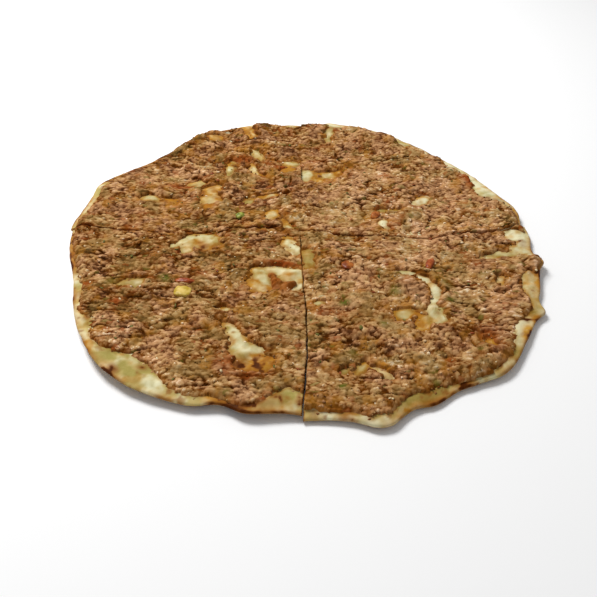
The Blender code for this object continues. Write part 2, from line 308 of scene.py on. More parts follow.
class Shade(Enum):
    """How a bare place is baked: its toast, oil, olive and pale, and how ragged its edge is."""

    CREAM = (0.0, 0.05, 0.12, 1.0, 0.5)
    LIME = (0.0, 0.12, 0.50, 0.80, 0.6)
    PEACH = (0.08, 0.22, 0.0, 0.80, 0.6)
    PLAIN = (0.03, 0.15, 0.30, 0.60, 0.7)
    YELLOW = (0.0, 0.35, 0.25, 0.55, 0.8)
    GOLD = (0.05, 0.75, 0.05, 0.5, 0.8)
    OLIVE = (0.05, 0.40, 0.75, 0.2, 1.1)
    AMBER = (0.22, 1.0, 0.1, 0.45, 1.1)
    FILM = (0.2, 0.1, 0.8, 0.25, 0.8)

    @property
    def shares(self) -> Array:
        """Its toast, oil, olive and pale."""
        return np.array(self.value[:4])

    @property
    def ragged(self) -> float:
        """How ragged its edge is."""
        return self.value[4]


class Stain(Enum):
    """What colours a spot: toast, oil and olive the bread, the last four the meat, and pale both."""

    TOAST = "toast"
    OIL = "oil"
    OLIVE = "olive"
    PALE = "pale"
    RED = "red"
    HERB = "herb"
    OCHRE = "ochre"
    CHAR = "char"


class Patch(NamedTuple):
    """A bare place where the dough blisters up through the meat: an ellipse with half its sizes."""

    x: float
    y: float
    length: float
    width: float
    turn: float
    rise: float
    shade: Shade


class Spot(NamedTuple):
    """A soft-edged ellipse of colour, with half its sizes."""

    x: float
    y: float
    length: float
    width: float
    turn: float
    strength: float


def each(kind: type, *rows: tuple) -> tuple:
    """Names the values in each row of a table.

    Args:
        kind: the named tuple that a row stands for.
        rows: its values, row by row.

    Returns:
        One named tuple for each row.
    """
    return tuple(kind(*row) for row in rows)


def ellipse_reach(spot: Spot | Patch, x: Array, y: Array, spread: float = 1.0) -> Array:
    """How far out a place lies on a turned ellipse: 0 in its middle and 1 on its edge.

    Args:
        spot: the ellipse.
        x: places in x.
        y: places in y.
        spread: how much larger than its sizes the ellipse is taken.

    Returns:
        The square root of (way along / half length)^2 + (way over / half width)^2.
    """
    x, y = x - spot.x, y - spot.y
    out = along(x, y, spot.turn) / (spot.length * spread)
    over = along(y, -x, spot.turn) / (spot.width * spread)
    return np.sqrt(out**2 + over**2)


class Side(Enum):
    """The quarters: the sign of x, the sign of y, and the angles of the cut ends in degrees."""

    back_right = (1, 1, 0, 90)
    back_left = (-1, 1, 180, 90)
    front_left = (-1, -1, 180, 270)
    front_right = (1, -1, 360, 270)


class Crumbs(NamedTuple):
    """What a crumb field says of each place."""

    rise: Array
    crease: Array
    middle_x: Array
    middle_y: Array
    tone: Array
    hue: Array


@dataclass(frozen=True)
class CrumbField:
    """Rounded crumbs of one size, packed side by side at random."""

    spacing: float
    stretch: float
    narrow: float
    steep: float
    seed: int
    warp: float = 0.35
    warp_size: float = 1.6
    shift: float = 0.9

    def over(self, x: Array, y: Array) -> Crumbs:
        """The crumb that covers each place.

        With y squeezed by narrow and both warped by slow noise, each lattice square holds one crumb,
        moved by up to half of shift times the spacing: a turned ellipse, 0.50 to 0.78 of the spacing
        in half its width, with a cap of height h (1 - reach^2)^steep and h from 0.55 to 1. The
        highest of the nine nearest caps shows, and the crease is how far it stands over the next.

        Args:
            x: places in x.
            y: places in y.

        Returns:
            Its rise from 0 to 1, its crease, its middle, and its own tone and hue.
        """
        slow = self.warp_size * self.spacing
        y = y * self.narrow
        x = x + self.warp * self.spacing * Noise(slow, self.seed + 11, 1).at(x, y)
        y = y + self.warp * self.spacing * Noise(slow, self.seed + 12, 1).at(x, y)
        column, row = np.floor(x / self.spacing), np.floor(y / self.spacing)
        best, second = np.full(np.shape(x), -1.0), np.full(np.shape(x), -1.0)
        chosen = [column, row, x, y]
        for step_x in (-1, 0, 1):
            for step_y in (-1, 0, 1):
                at_column, at_row = column + step_x, row + step_y
                draw = [lattice_value(at_column, at_row, self.seed + k) for k in range(1, 7)]
                at_x = (at_column + 0.5 + self.shift * (draw[0] - 0.5)) * self.spacing
                at_y = (at_row + 0.5 + self.shift * (draw[1] - 0.5)) * self.spacing
                turn, longer = math.pi * draw[2], 1 + self.stretch * draw[3]
                wide, tall = (0.50 + 0.28 * draw[4]) * self.spacing, 0.55 + 0.45 * draw[5]
                out = ((x - at_x) * np.cos(turn) + (y - at_y) * np.sin(turn)) / (wide * longer)
                over = ((y - at_y) * np.cos(turn) - (x - at_x) * np.sin(turn)) / wide
                cap = tall * np.clip(1 - out**2 - over**2, 0, 1) ** self.steep
                higher = cap > best
                second = np.where(higher, best, np.maximum(second, cap))
                best = np.where(higher, cap, best)
                found = (at_column, at_row, at_x, at_y)
                chosen = [np.where(higher, new, old) for new, old in zip(found, chosen)]
        tone, hue = (lattice_value(chosen[0], chosen[1], self.seed + k) for k in (7, 8))
        return Crumbs(best, best - np.maximum(second, 0), chosen[2], chosen[3] / self.narrow, tone, hue)


CLUMPS = CrumbField(spacing=8.0, stretch=1.2, narrow=1.5, steep=1.1, seed=100)
CRUMBS = CrumbField(spacing=3.2, stretch=1.0, narrow=1.6, steep=0.65, seed=200)
GRANULES = CrumbField(spacing=1.6, stretch=0.6, narrow=1.3, steep=0.65, seed=300)


class MeatBed(NamedTuple):
    """What the meat is made of at each place, from which its height and its colouring follow."""

    x: Array
    y: Array
    cover: Array
    inner: Array
    kerf: Array
    clump: Crumbs
    crumb: Crumbs
    granule: Crumbs
    furrow: Array
    coarse: Array
    seam: Array


class Mince(NamedTuple):
    """The meat's upper face: its height, and two sets of four shares for its colouring."""

    height: Array
    grain: Array
    spice: Array


@dataclass(frozen=True)
class Quarter:
    """One quarter of the bread: its outline, its blisters, its heaps of meat and its stains."""

    side: Side
    outline: Bells
    bare_rim: Bells
    curl: Bells
    mounds: Humps
    patches: tuple[Patch, ...]
    spots: dict[Stain, tuple[Spot, ...]]
    islands: tuple[Patch, ...] = ()

    def rim(self, angle: Array | float) -> Array:
        """The outline's distance from the middle: the mean radius and the outline's bells."""
        return BREAD_RADIUS + ring_bells(self.outline, angle)

    def inward(self, x: Array, y: Array) -> Array:
        """How far a place lies inside the outline."""
        return self.rim(np.degrees(np.arctan2(y, x))) - np.hypot(x, y)

    def ends(self) -> tuple[float, float]:
        """The angles of the rim's two ends.

        Each end is moved towards its cut a few times, since the cut's place depends on the end.

        Returns:
            The angle on the cut across and the one on the cut down, in degrees.
        """
        right, back, start, end = self.side.value
        for _ in range(STEPS_TO_MEET):
            x = float(self.rim(start)) * math.cos(math.radians(start))
            found = math.degrees(math.atan2(across_y(x) + back * KERF / 2, x))
            start = found + 360 * round((start - found) / 360)
            y = float(self.rim(end)) * math.sin(math.radians(end))
            found = math.degrees(math.atan2(y, down_x(y) + right * KERF / 2))
            end = found + 360 * round((end - found) / 360)
        return start, end

    def plan(self, share: Array, inset: float, half_gap: float, waver: float) -> tuple[Array, Array]:
        """The grid of the quarter, whose level lines are arcs and whose first rows are the cuts.

        A point's level is the larger of its two indices and sets how far out it is, and the
        smaller one over it sets its turn from one cut to the other. The point is then bent onto
        the curved cuts with the weights (1 - 2 turn)^2 and (2 turn - 1)^2. The cut across stays
        open and widens to the right. The other widens to the front, and overlaps where it closed.

        Args:
            share: how far out each level lies, from 0 to 1.
            inset: how far inside the outline the last level lies.
            half_gap: how far from the cut lines the edges lie.
            waver: how far the edges at the cuts wander.

        Returns:
            Two square arrays, x and y.
        """
        right, back, _, _ = self.side.value
        start, end = self.ends()
        tip_x, tip_y = 0.0, ACROSS_START
        for _ in range(STEPS_TO_MEET):
            tip_x = float(down_x(tip_y)) + right * KERF / 2
            tip_y = float(across_y(tip_x)) + back * KERF / 2
        count = np.arange(len(share))
        i, j = np.meshgrid(count, count, indexing="ij")
        level = np.maximum(i, j)
        lower = np.minimum(i, j) / np.maximum(level, 1)
        turn = np.where(i >= j, lower / 2, 1 - lower / 2)
        angle = start + (end - start) * turn
        reach = self.rim(angle) - inset
        x = tip_x + share[level] * (reach * np.cos(np.radians(angle)) - tip_x)
        y = tip_y + share[level] * (reach * np.sin(np.radians(angle)) - tip_y)
        own_wander = Noise(4.0, 40 + right + 3 * back)
        wander = own_wander.at(x + y, x - y) + 0.8 * CUT_WANDER.at(x + y, x - y)
        gap = np.maximum(half_gap + waver * wander, LEAST_GAP)
        wider = waver * at_least(0.4, ramp(x, 50, 110))
        to_across = across_y(x) + back * (gap + wider) - y
        opened = gap * (1 - closed(y)) - OVERLAP * closed(y) + WIDER_IN_FRONT * ramp(y, -70, -130)
        to_down = down_x(y) + right * opened - x
        on_across = np.where(turn < 0.5, (1 - 2 * turn) ** 2, 0.0)
        on_down = np.where(turn > 0.5, (2 * turn - 1) ** 2, 0.0)
        return x + on_down * to_down[:1, :], y + on_across * to_across[:, :1]

    def dough(self, x: Array, y: Array) -> tuple[Array, Array]:
        """The bread's underside and upper face.

        Beyond FLAT_SHARE of the radius the underside lifts with the square of the way out. The
        upper face adds the dough's thickness, a puffed rim that thins at its very edge, slow waves,
        the fourth root of the sum of the blisters' bells to the fourth, and small uneven bumps,
        which are stronger on bare dough.

        Args:
            x: places in x.
            y: places in y.

        Returns:
            The heights of the two faces.
        """
        angle = np.degrees(np.arctan2(y, x))
        outer = np.clip((np.hypot(x, y) / self.rim(angle) - FLAT_SHARE) / (1 - FLAT_SHARE), 0, 1)
        under = (CURL_EVERYWHERE + ring_bells(self.curl, angle)) * outer**2
        blisters = np.zeros(np.shape(x))
        for patch in self.patches:
            blisters = blisters + (patch.rise * bell(ellipse_reach(patch, x, y, 2.0), 1.0)) ** 4
        bare = ramp(self.cover(x, y), 2, -3)
        bumps = at_least(0.2, bare) * HILLS.at(x, y) + (0.08 + 0.25 * bare) * BUMPS.at(x, y)
        thinned = RIM_PUFF * outer**2 - EDGE_THINNING * ramp(outer, 0.8, 1)
        top = under + DOUGH + thinned + plane_waves(WAVES, x, y) * (1 - outer)
        return under, top + blisters**0.25 + bumps * (1 - 0.5 * outer**6)

    def bent(self, x: Array, y: Array) -> tuple[Array, Array]:
        """Places moved by up to PATCH_BEND by smooth noise, so that a patch isn't a plain ellipse."""
        return x + PATCH_BEND * BEND_X.at(x, y), y + PATCH_BEND * BEND_Y.at(x, y)

    def from_edge(self, x: Array, y: Array) -> Array:
        """How far a place lies inside the outer edge of the meat, before the edge is made ragged."""
        angle = np.degrees(np.arctan2(y, x))
        return self.rim(angle) - MEAT_INSET - ring_bells(self.bare_rim, angle) - np.hypot(x, y)

    def cover(self, x: Array, y: Array) -> Array:
        """How far a place lies inside the meat, and below zero where it is bare.

        The least of the way in from the meat's outer edge and the way out from each bare patch,
        whose edge is as ragged as its shade says. An island gives meat back inside a patch, and
        the whole edge wanders by less than a millimetre.

        Args:
            x: places in x.
            y: places in y.

        Returns:
            The distance at each place.
        """
        inside = self.from_edge(x, y)
        ragged = PATCH_EDGE.at(x, y)
        bent_x, bent_y = self.bent(x, y)
        for patch in self.patches:
            way_out = (ellipse_reach(patch, bent_x, bent_y) - 1) * patch.width
            inside = np.minimum(inside, way_out + PATCH_RAGS * patch.shade.ragged * ragged)
        for island in self.islands:
            inside = np.maximum(inside, (1 - ellipse_reach(island, x, y)) * island.width)
        return inside - EDGE_BACK + EDGE_WAVER * MEAT_EDGE.at(x, y)

    def kerf_distance(self, x: Array, y: Array) -> Array:
        """The distance to the nearer cut line, with the closed part of one counted further off."""
        return np.minimum(np.abs(y - across_y(x)), np.abs(x - down_x(y)) + CLOSED_OFF * closed(y))

    def stain(self, kind: Stain, x: Array, y: Array) -> Array:
        """The strength of one stain: the largest of its spots' bells."""
        total = np.zeros(np.shape(x))
        for spot in self.spots.get(kind, ()):
            total = np.maximum(total, spot.strength * bell(ellipse_reach(spot, x, y), 1.0))
        return total

    def bed(self, x: Array, y: Array) -> MeatBed:
        """What the meat is made of at each place.

        Furrows run along the zero lines of slow noise, and a seam along the cut across.

        Args:
            x: places in x.
            y: places in y.

        Returns:
            The way in from its edge and from a cut, its three sizes of crumbs, and its furrows,
            coarseness and seam.
        """
        cover = self.cover(x, y)
        return MeatBed(
            x=x,
            y=y,
            cover=cover,
            inner=ramp(cover, 0, 3.5),
            kerf=self.kerf_distance(x, y),
            clump=CLUMPS.over(x, y),
            crumb=CRUMBS.over(x, y),
            granule=GRANULES.over(x, y),
            furrow=bell(FURROWS.at(0.7 * x, 1.4 * y), 0.065) * FURROWED.patches(x, y),
            coarse=0.6 + 0.5 * COARSE.patches(x, y),
            seam=bell(y - across_y(x), 1.3) * at_least(0.6, SEAMED.patches(x, y * 0)),
        )

    def mince_top(self, bed: MeatBed) -> Array:
        """The height of the meat's upper face.

        Over the dough lies a body with slow lumps, heaps, a lip beside each edge and ledges, which
        are steps of slow noise with eased sides. It thins towards bare places and the outer edge,
        and bears the crumbs, furrows, seam and knobs. A crumb is there or not partly by the cover
        at its own middle, so that edges are ragged. Edges and cuts are rounded as
        sqrt(1 - (1 - way in / rounding)^2), where there is no meat the face dips just under the
        dough, and the highest places are held down with tanh.

        Args:
            bed: what the meat is made of.

        Returns:
            The height at each place.
        """
        x, y = bed.x, bed.y
        _, dough_top = self.dough(x, y)
        from_edge = self.from_edge(x, y)
        at_crumb = self.cover(bed.crumb.middle_x, bed.crumb.middle_y)
        way_in = 0.5 * bed.cover + 0.5 * at_crumb + 0.8 * (bed.crumb.tone - 0.5)
        rounded = np.clip(np.minimum(way_in, bed.kerf + 0.3) / EDGE_ROUNDING, 0, 1)
        rounded = np.sqrt(1 - (1 - rounded) ** 2)
        lip = LIP_RISE * bell(bed.cover - 2.2, 1.5) * LIPS.patches(x, y) * ramp(from_edge, 0, 8)
        thick = at_least(0.5, ramp(bed.cover, 0, 8) * at_least(0.4, ramp(from_edge, 0, 12)))
        step = 3.0 * LEDGES.at(x, y)
        ledge = np.floor(step) + ease((step - np.floor(step)) * 2.6 - 0.8)
        body = (MEAT - MEAN_RELIEF + plane_waves(LUMPS, x, y)) * thick
        body = body + humps(self.mounds, x, y) + lip
        relief = (CLUMP_RISE * bed.clump.rise + LEDGE_RISE * ledge) * thick
        fine = CRUMB_RISE * bed.crumb.rise + GRANULE_RISE * bed.granule.rise
        relief = relief + fine * bed.coarse * at_least(0.5, bed.inner)
        relief = relief - FURROW * bed.furrow - SEAM_DIP * bed.seam + KNOB_RISE * KNOBS.at(x, 1.5 * y)
        height = dough_top - BARE_DIP + (body + relief + BARE_DIP) * rounded
        top = HIGHEST - ROUND_OFF
        return np.where(height > top, top + ROUND_OFF * np.tanh((height - top) / ROUND_OFF), height)

    def grain(self, bed: MeatBed) -> Array:
        """The meat's colouring: its own, with painted light and shade.

        The tone is the sum of each crumb's own, how high it stands, which paints light on tops and
        shade in hollows, noise of two sizes, a slow lightening to the right and the front and another
        to the right and back, partly drier meat and partly painted light, and the places that are lighter
        or darker, partly from cooking and partly painted light. The seam along the cut across is darkened
        as painted shade. Above 0.75 it rises half as fast, and pale spots add painted glints with some
        pale fat. The hue is slow noise, turned towards mauve to the right and back, partly the meat's
        own hue and partly a painted cast of the light, with a little of each crumb's own. The unshaded
        share falls in a crease, beside a bare place and at a cut, where it paints shade, the meat's edge
        is darkened as painted shade, and some granules glint with oil.

        Args:
            bed: what the meat is made of.

        Returns:
            The shares of tone, hue, unshaded share and oil at each place.
        """
        x, y, clump, crumb, granule = bed.x, bed.y, bed.clump, bed.crumb, bed.granule
        deep = (0.25 * clump.rise + 0.75 * crumb.rise + 0.35 * granule.rise - 0.6 * bed.furrow) / 1.1
        tone = 0.25 + 0.50 * bed.coarse * (crumb.tone - 0.5) + 0.28 * granule.tone + 0.18 * clump.tone
        # Painted light and shade: higher crumbs lighter, lower ones darker, and painted shade along the
        # seam of the cut across.
        tone = tone + 0.8 * (deep - 0.76) - 0.2 * bed.seam
        tone = tone + 0.14 * TONE_WIDE.at(x, y) + 0.14 * TONE_FINE.at(x, y)
        # Lighter to the right and the front, and to the right and back, partly drier meat and partly
        # painted light.
        tone = tone + 0.045 + 0.0003 * (x - y) + 0.08 * ramp(x, -5, 25) * ramp(y, -120, 0)
        tone = tone + humps(COOKED_AND_LIT, x, y)
        tone = np.where(tone > 0.75, 0.75 + 0.5 * (tone - 0.75), tone)
        # Pale spots make painted glints on the lighter granules, with some pale fat among them.
        tone = tone + 0.45 * self.stain(Stain.PALE, x, y) * (granule.tone > 0.6)
        edge = ramp(bed.cover, -0.6, 1.2)
        # Towards mauve to the right and back: partly the meat's own hue, partly a painted cast of the
        # light.
        hue = 0.5 + 0.12 * ramp(x + y, 0, 80) + 0.95 * HUES.at(x, y)
        hue = hue + 0.3 * (clump.hue - 0.5) + 0.1 * (crumb.hue - 0.5)
        # Painted shade: less unshaded share, so more crease colour, in creases, beside bare places and at
        # the cuts.
        unshaded = ramp(deep, 0, 0.7) * ease(0.35 + 2.0 * crumb.crease + 0.6 * granule.crease)
        unshaded = unshaded * at_least(0.45, edge) * at_least(0.4, ramp(bed.kerf, 0.2, 1.2))
        oil = 0.35 + 0.4 * OILY.at(x, y) + 0.5 * (granule.hue > 0.9)
        # The tone is darker at the meat's edge, as painted shade.
        return np.clip(np.stack([tone - 0.12 * (1 - edge), hue, unshaded, oil], axis=-1), 0, 1)

    def spice(self, bed: MeatBed) -> Array:
        """What is laid over the meat's own colour: its stains, soft patches and single crumbs.

        Args:
            bed: what the meat is made of.

        Returns:
            The shares of red, herb, ochre and char at each place.
        """
        x, y, outer = bed.x, bed.y, 1 - bed.inner
        red = self.stain(Stain.RED, x, y) + 0.5 * (bed.crumb.hue < 0.02) + 0.22 * outer
        # The seam is reddened along with its painted shade.
        red = red + 0.3 * REDDENED.patches(x, y) + 0.35 * bed.seam
        herb = self.stain(Stain.HERB, x, y) + 0.45 * (bed.crumb.hue > 0.985)
        ochre = 0.8 * self.stain(Stain.OCHRE, x, y) + 0.42 * GILDED.patches(x, y)
        ochre = ochre + 0.35 * outer * GILDED_EDGE.patches(x, y)
        char = self.stain(Stain.CHAR, x, y)
        return np.clip(np.stack([red, herb, ochre, char], axis=-1), 0, 1)

    def mince(self, x: Array, y: Array) -> Mince:
        """The meat's upper face with its crumbs: its height and its colouring."""
        bed = self.bed(x, y)
        return Mince(self.mince_top(bed), self.grain(bed), self.spice(bed))

    def bake(self, x: Array, y: Array, below: bool) -> Array:
        """The bread's colouring.

        Olive and pale follow the small hills, as painted shade in their hollows and painted highlight on
        their tops. Below, oven spots are added, and toast towards the rim, partly browning and partly
        painted shade. Above, a bare patch brings its own shade, with small flecks, and golden mottles
        where it is oily. The meat leaves oil, a brown line and less pale beside its edge, the outermost
        millimetres are browned unevenly, the cuts are darkened with toast and oil as painted shade, and
        the spots are added.

        Args:
            x: places in x.
            y: places in y.
            below: whether this is the underside.

        Returns:
            The shares of toast, oil, olive and pale at each place.
        """
        inward, hill, none = self.inward(x, y), HILLS.at(x, y), np.zeros(np.shape(x))
        # Painted shade and highlight: olive in the hollows of the small hills and pale on their tops;
        # olive also rises to the front, and pale to the back and the right.
        olive = 0.30 - hill + 0.45 * OLIVE_MOTTLE.at(x, y) - 0.0008 * y
        olive = olive * at_least(0.35, ramp(inward, 0, 6))
        pale = 0.42 + 1.2 * hill + 0.45 * PALE_MOTTLE.at(x, y) + 0.001 * y + 0.0015 * x
        if below:
            # Toward the rim the underside is toasted darker, partly browning and partly painted shade.
            toast = 0.35 + 0.6 * OVEN_SPOTS.patches(x, y) + 0.35 * ramp(inward, 6, 1)
            return np.clip(np.stack([toast, none, olive, pale], axis=-1), 0, 1)
        bent_x, bent_y = self.bent(x, y)
        total = np.full((*np.shape(x), 1), 0.02)
        shares = np.stack([none, none, olive, pale], axis=-1) * total
        for patch in self.patches:
            weight = bell(ellipse_reach(patch, bent_x, bent_y), 0.8)[..., None]
            shares = shares + patch.shade.shares * weight
            total = total + weight
        toast, golden, olive, pale = np.moveaxis(shares / total, -1, 0)
        cover = self.cover(x, y)
        off_edge = np.abs(cover + 0.4)
        shallow = ramp(off_edge, 2.6, 0)
        freckle, blotch = FRECKLES.patches(x, y), BLOTCHES.at(x, y)
        # Painted shade: toast and oil darken the bread beside the cuts.
        cut = ramp(self.kerf_distance(x, y), 0.64, 0.24)
        on_bread = (Stain.TOAST, Stain.OIL, Stain.OLIVE, Stain.PALE)
        toasted, oiled, olives, paled = (self.stain(kind, x, y) for kind in on_bread)
        toast = toast + 0.6 * TOASTED.patches(x, y) * ease(1.6 * golden - 0.5)
        toast = toast + (0.6 * ramp(blotch, 0.05, 0.55) + 0.45 * freckle) * ramp(inward, 22.4, 6.4)
        toast = toast + 0.15 * freckle + 0.7 * ramp(inward, 2.4, 0) * ease(0.8 + 1.5 * blotch)
        toast = toast + 0.4 * ramp(np.abs(cover + 0.2), 1.3, 0) * BROWNED_EDGE.patches(x, y)
        toast = toast + 0.6 * cut + toasted
        oil = golden + 0.4 * OIL_FLECKS.at(x, y) * (golden > 0.1) + 0.5 * OIL_DROPS.patches(x, y)
        oil = oil + (0.3 + 0.5 * golden + 0.9 * blotch) * ramp(off_edge, 2.2, 0)
        oil = oil + 0.7 * ramp(inward, 5.5, 0.5) * ramp(blotch, -0.7, 0.3) + cut + oiled
        olive = olive + 0.4 * OLIVE_FLECKS.at(x, y) + 0.2 * shallow + olives - 0.7 * paled
        pale = pale + (0.6 + 0.7 * golden) * PALE_FLECKS.at(x, y) - 0.45 * shallow
        pale = pale + paled - 0.8 * toasted - 0.6 * olives
        return np.clip(np.stack([toast, oil, olive, pale], axis=-1), 0, 1)


def linear(colour: str) -> tuple[float, float, float, float]:
    """Turns an sRGB colour, as #rrggbb, into the linear one that a shader takes."""
    parts = [int(colour[k : k + 2], 16) / 255 for k in (1, 3, 5)]
    made = [c / 12.92 if c <= 0.04045 else ((c + 0.055) / 1.055) ** 2.4 for c in parts]
    return made[0], made[1], made[2], 1.0


def add_node(tree: Any, kind: str, settings: dict[str, Any], inputs: dict[Any, Any]) -> Any:
    """Adds a shader node with its settings and links.

    Args:
        tree: the material's node tree.
        kind: the node's type.
        settings: its properties. "stops" gives a colour ramp's (place, colour) pairs.
        inputs: by name or number, a value, a #rrggbb colour, or another node's output to link.

    Returns:
        The node.
    """
    made = tree.nodes.new(kind)
    for name, value in settings.items():
        if name != "stops":
            setattr(made, name, value)
            continue
        elements = made.color_ramp.elements
        while len(elements) < len(value):
            elements.new(0.5)
        for element, (place, colour) in zip(elements, value):
            element.position = place
            element.color = linear(colour)
    for name, value in inputs.items():
        if isinstance(value, bpy.types.NodeSocket):
            tree.links.new(value, made.inputs[name])
        elif isinstance(value, str):
            made.inputs[name].default_value = linear(value)
        else:
            made.inputs[name].default_value = value
    return made


def new_material(name: str) -> tuple[Any, Any]:
    """A material of that name and its node tree, which is empty."""
    material = bpy.data.materials.new(name)
    material.use_nodes = True
    material.node_tree.nodes.clear()
    return material, material.node_tree


def lay_coats(tree: Any, colour: Any, coats: list[tuple[Any, Any, str]]) -> Any:
    """Lays coats of colour one over another.

    Args:
        tree: the material's node tree.
        colour: the lowest colour.
        coats: how much of each coat shows, its colour and how it blends, from the lowest up.

    Returns:
        The mixed colour.
    """
    for share, over, blend in coats:
        settings = {"data_type": "RGBA", "blend_type": blend}
        colour = add_node(tree, "ShaderNodeMix", settings, {0: share, 6: colour, 7: over}).outputs[2]
    return colour


@dataclass(frozen=True, kw_only=True)
class Finish:
    """What the finishes share: the size of their grain, their relief, and how they take the light."""

    grain_mm: float
    bump: float = 0.3
    bump_mm: float = 0.2
    ior: float = 1.4
    specular: float = 0.25
    tint: str = "#ffffff"

    def noise(self, tree: Any, detail: float, coarser: float = 1.0) -> Any:
        """The finish's own grain, as noise from 0 to 1.

        Args:
            tree: the material's node tree.
            detail: how many finer sizes are added.
            coarser: how many times the grain's size it has.

        Returns:
            The noise's output.
        """
        place = add_node(tree, "ShaderNodeTexCoord", {}, {}).outputs["Object"]
        inputs = {"Vector": place, "Scale": 1 / (self.grain_mm * MM) / coarser, "Detail": detail}
        return add_node(tree, "ShaderNodeTexNoise", {}, inputs).outputs["Fac"]

    def shares(self, tree: Any, name: str) -> list[Any]:
        """The four values of one of the mesh's attributes, each as an output."""
        read = add_node(tree, "ShaderNodeAttribute", {"attribute_name": name}, {}).outputs
        parts = add_node(tree, "ShaderNodeSeparateColor", {}, {0: read["Color"]}).outputs
        return [*parts, read["Alpha"]]

    def complete(self, tree: Any, colour: Any, rough: Any, relief: Any) -> None:
        """Gives the surface its relief and its shader.

        Args:
            tree: the material's node tree.
            colour: its colour.
            rough: its roughness.
            relief: the height of its relief, from 0 to 1.
        """
        height = {"Strength": self.bump, "Distance": self.bump_mm * MM, "Height": relief}
        look = {
            "Base Color": colour,
            "Roughness": rough,
            "Normal": add_node(tree, "ShaderNodeBump", {}, height).outputs[0],
            "IOR": self.ior,
            "Specular IOR Level": self.specular,
            "Specular Tint": self.tint,
        }
        shader = add_node(tree, "ShaderNodeBsdfPrincipled", {}, look)
        add_node(tree, "ShaderNodeOutputMaterial", {}, {0: shader.outputs[0]})


@dataclass(frozen=True)
class MinceFinish(Finish):
    """Spiced minced lamb baked on the bread: soft matt crumbs, with painted shade in the creases and
    painted glints.
    """

    # The tone ramp runs from crease, a painted shade colour, to glint, a painted highlight.
    glint: str = "#eed6b2"
    light: str = "#c69e6a"
    crumb: str = "#9d7042"
    dark: str = "#6a3804"
    crease: str = "#452002"
    mauve: str = "#a6775a"
    olive: str = "#7a6636"
    red: str = "#8e4418"
    herb: str = "#585c1d"
    ochre: str = "#ad7426"
    char: str = "#1c0e05"
    dull: float = 0.7
    oily: float = 0.4
    grain_mm: float = 0.8
    bump: float = 0.4
    bump_mm: float = 0.25
    ior: float = 1.45
    specular: float = 0.04
    tint: str = "#d89858"

    def material(self) -> Any:
        """Builds the material.

        The crumb's tone, broken up by the meat's own grain, runs through a ramp from the crease
        colour, a painted shade, to the glint colour, a painted highlight. Its hue gives it the colour
        of mauve or turns it to olive, its unshaded share darkens it to the crease colour as painted
        shade in creases, beside bare places and at the cuts, and the spices are laid over.

        Returns:
            The material.
        """
        made, tree = new_material("spiced_mince_baked")
        tone, hue, unshaded, oil = self.shares(tree, "grain")
        red, herb, ochre, char = self.shares(tree, "spice")
        speck = self.noise(tree, 3.0)
        shift = {0: speck, 1: 0.16, 2: -0.08}
        shifted = add_node(tree, "ShaderNodeMath", {"operation": "MULTIPLY_ADD"}, shift).outputs[0]
        tone = add_node(tree, "ShaderNodeMath", {"operation": "ADD"}, {0: tone, 1: shifted}).outputs[0]
        stops = (
            (0.0, self.crease),
            (0.24, self.dark),
            (0.50, self.crumb),
            (0.80, self.light),
            (1.0, self.glint),
        )
        colour = add_node(tree, "ShaderNodeValToRGB", {"stops": stops}, {0: tone}).outputs[0]
        coats = []
        for value, none_at, full_at, most, over, blend in (
            (hue, 0.52, 0.84, 0.38, self.mauve, "COLOR"),
            (hue, 0.46, 0.15, 0.42, self.olive, "MIX"),
            # Painted shade: the crease colour where the unshaded share is low.
            (unshaded, 0.6, 0.0, 0.92, self.crease, "MIX"),
        ):
            limits = {"Value": value, "From Min": none_at, "From Max": full_at, "To Max": most}
            share = add_node(tree, "ShaderNodeMapRange", {}, limits).outputs[0]
            coats.append((share, over, blend))
        for share, over in ((ochre, self.ochre), (red, self.red), (herb, self.herb), (char, self.char)):
            coats.append((share, over, "MIX"))
        gloss = {"Value": oil, "To Min": self.dull, "To Max": self.oily}
        rough = add_node(tree, "ShaderNodeMapRange", {}, gloss).outputs[0]
        self.complete(tree, lay_coats(tree, colour, coats), rough, speck)
        return made


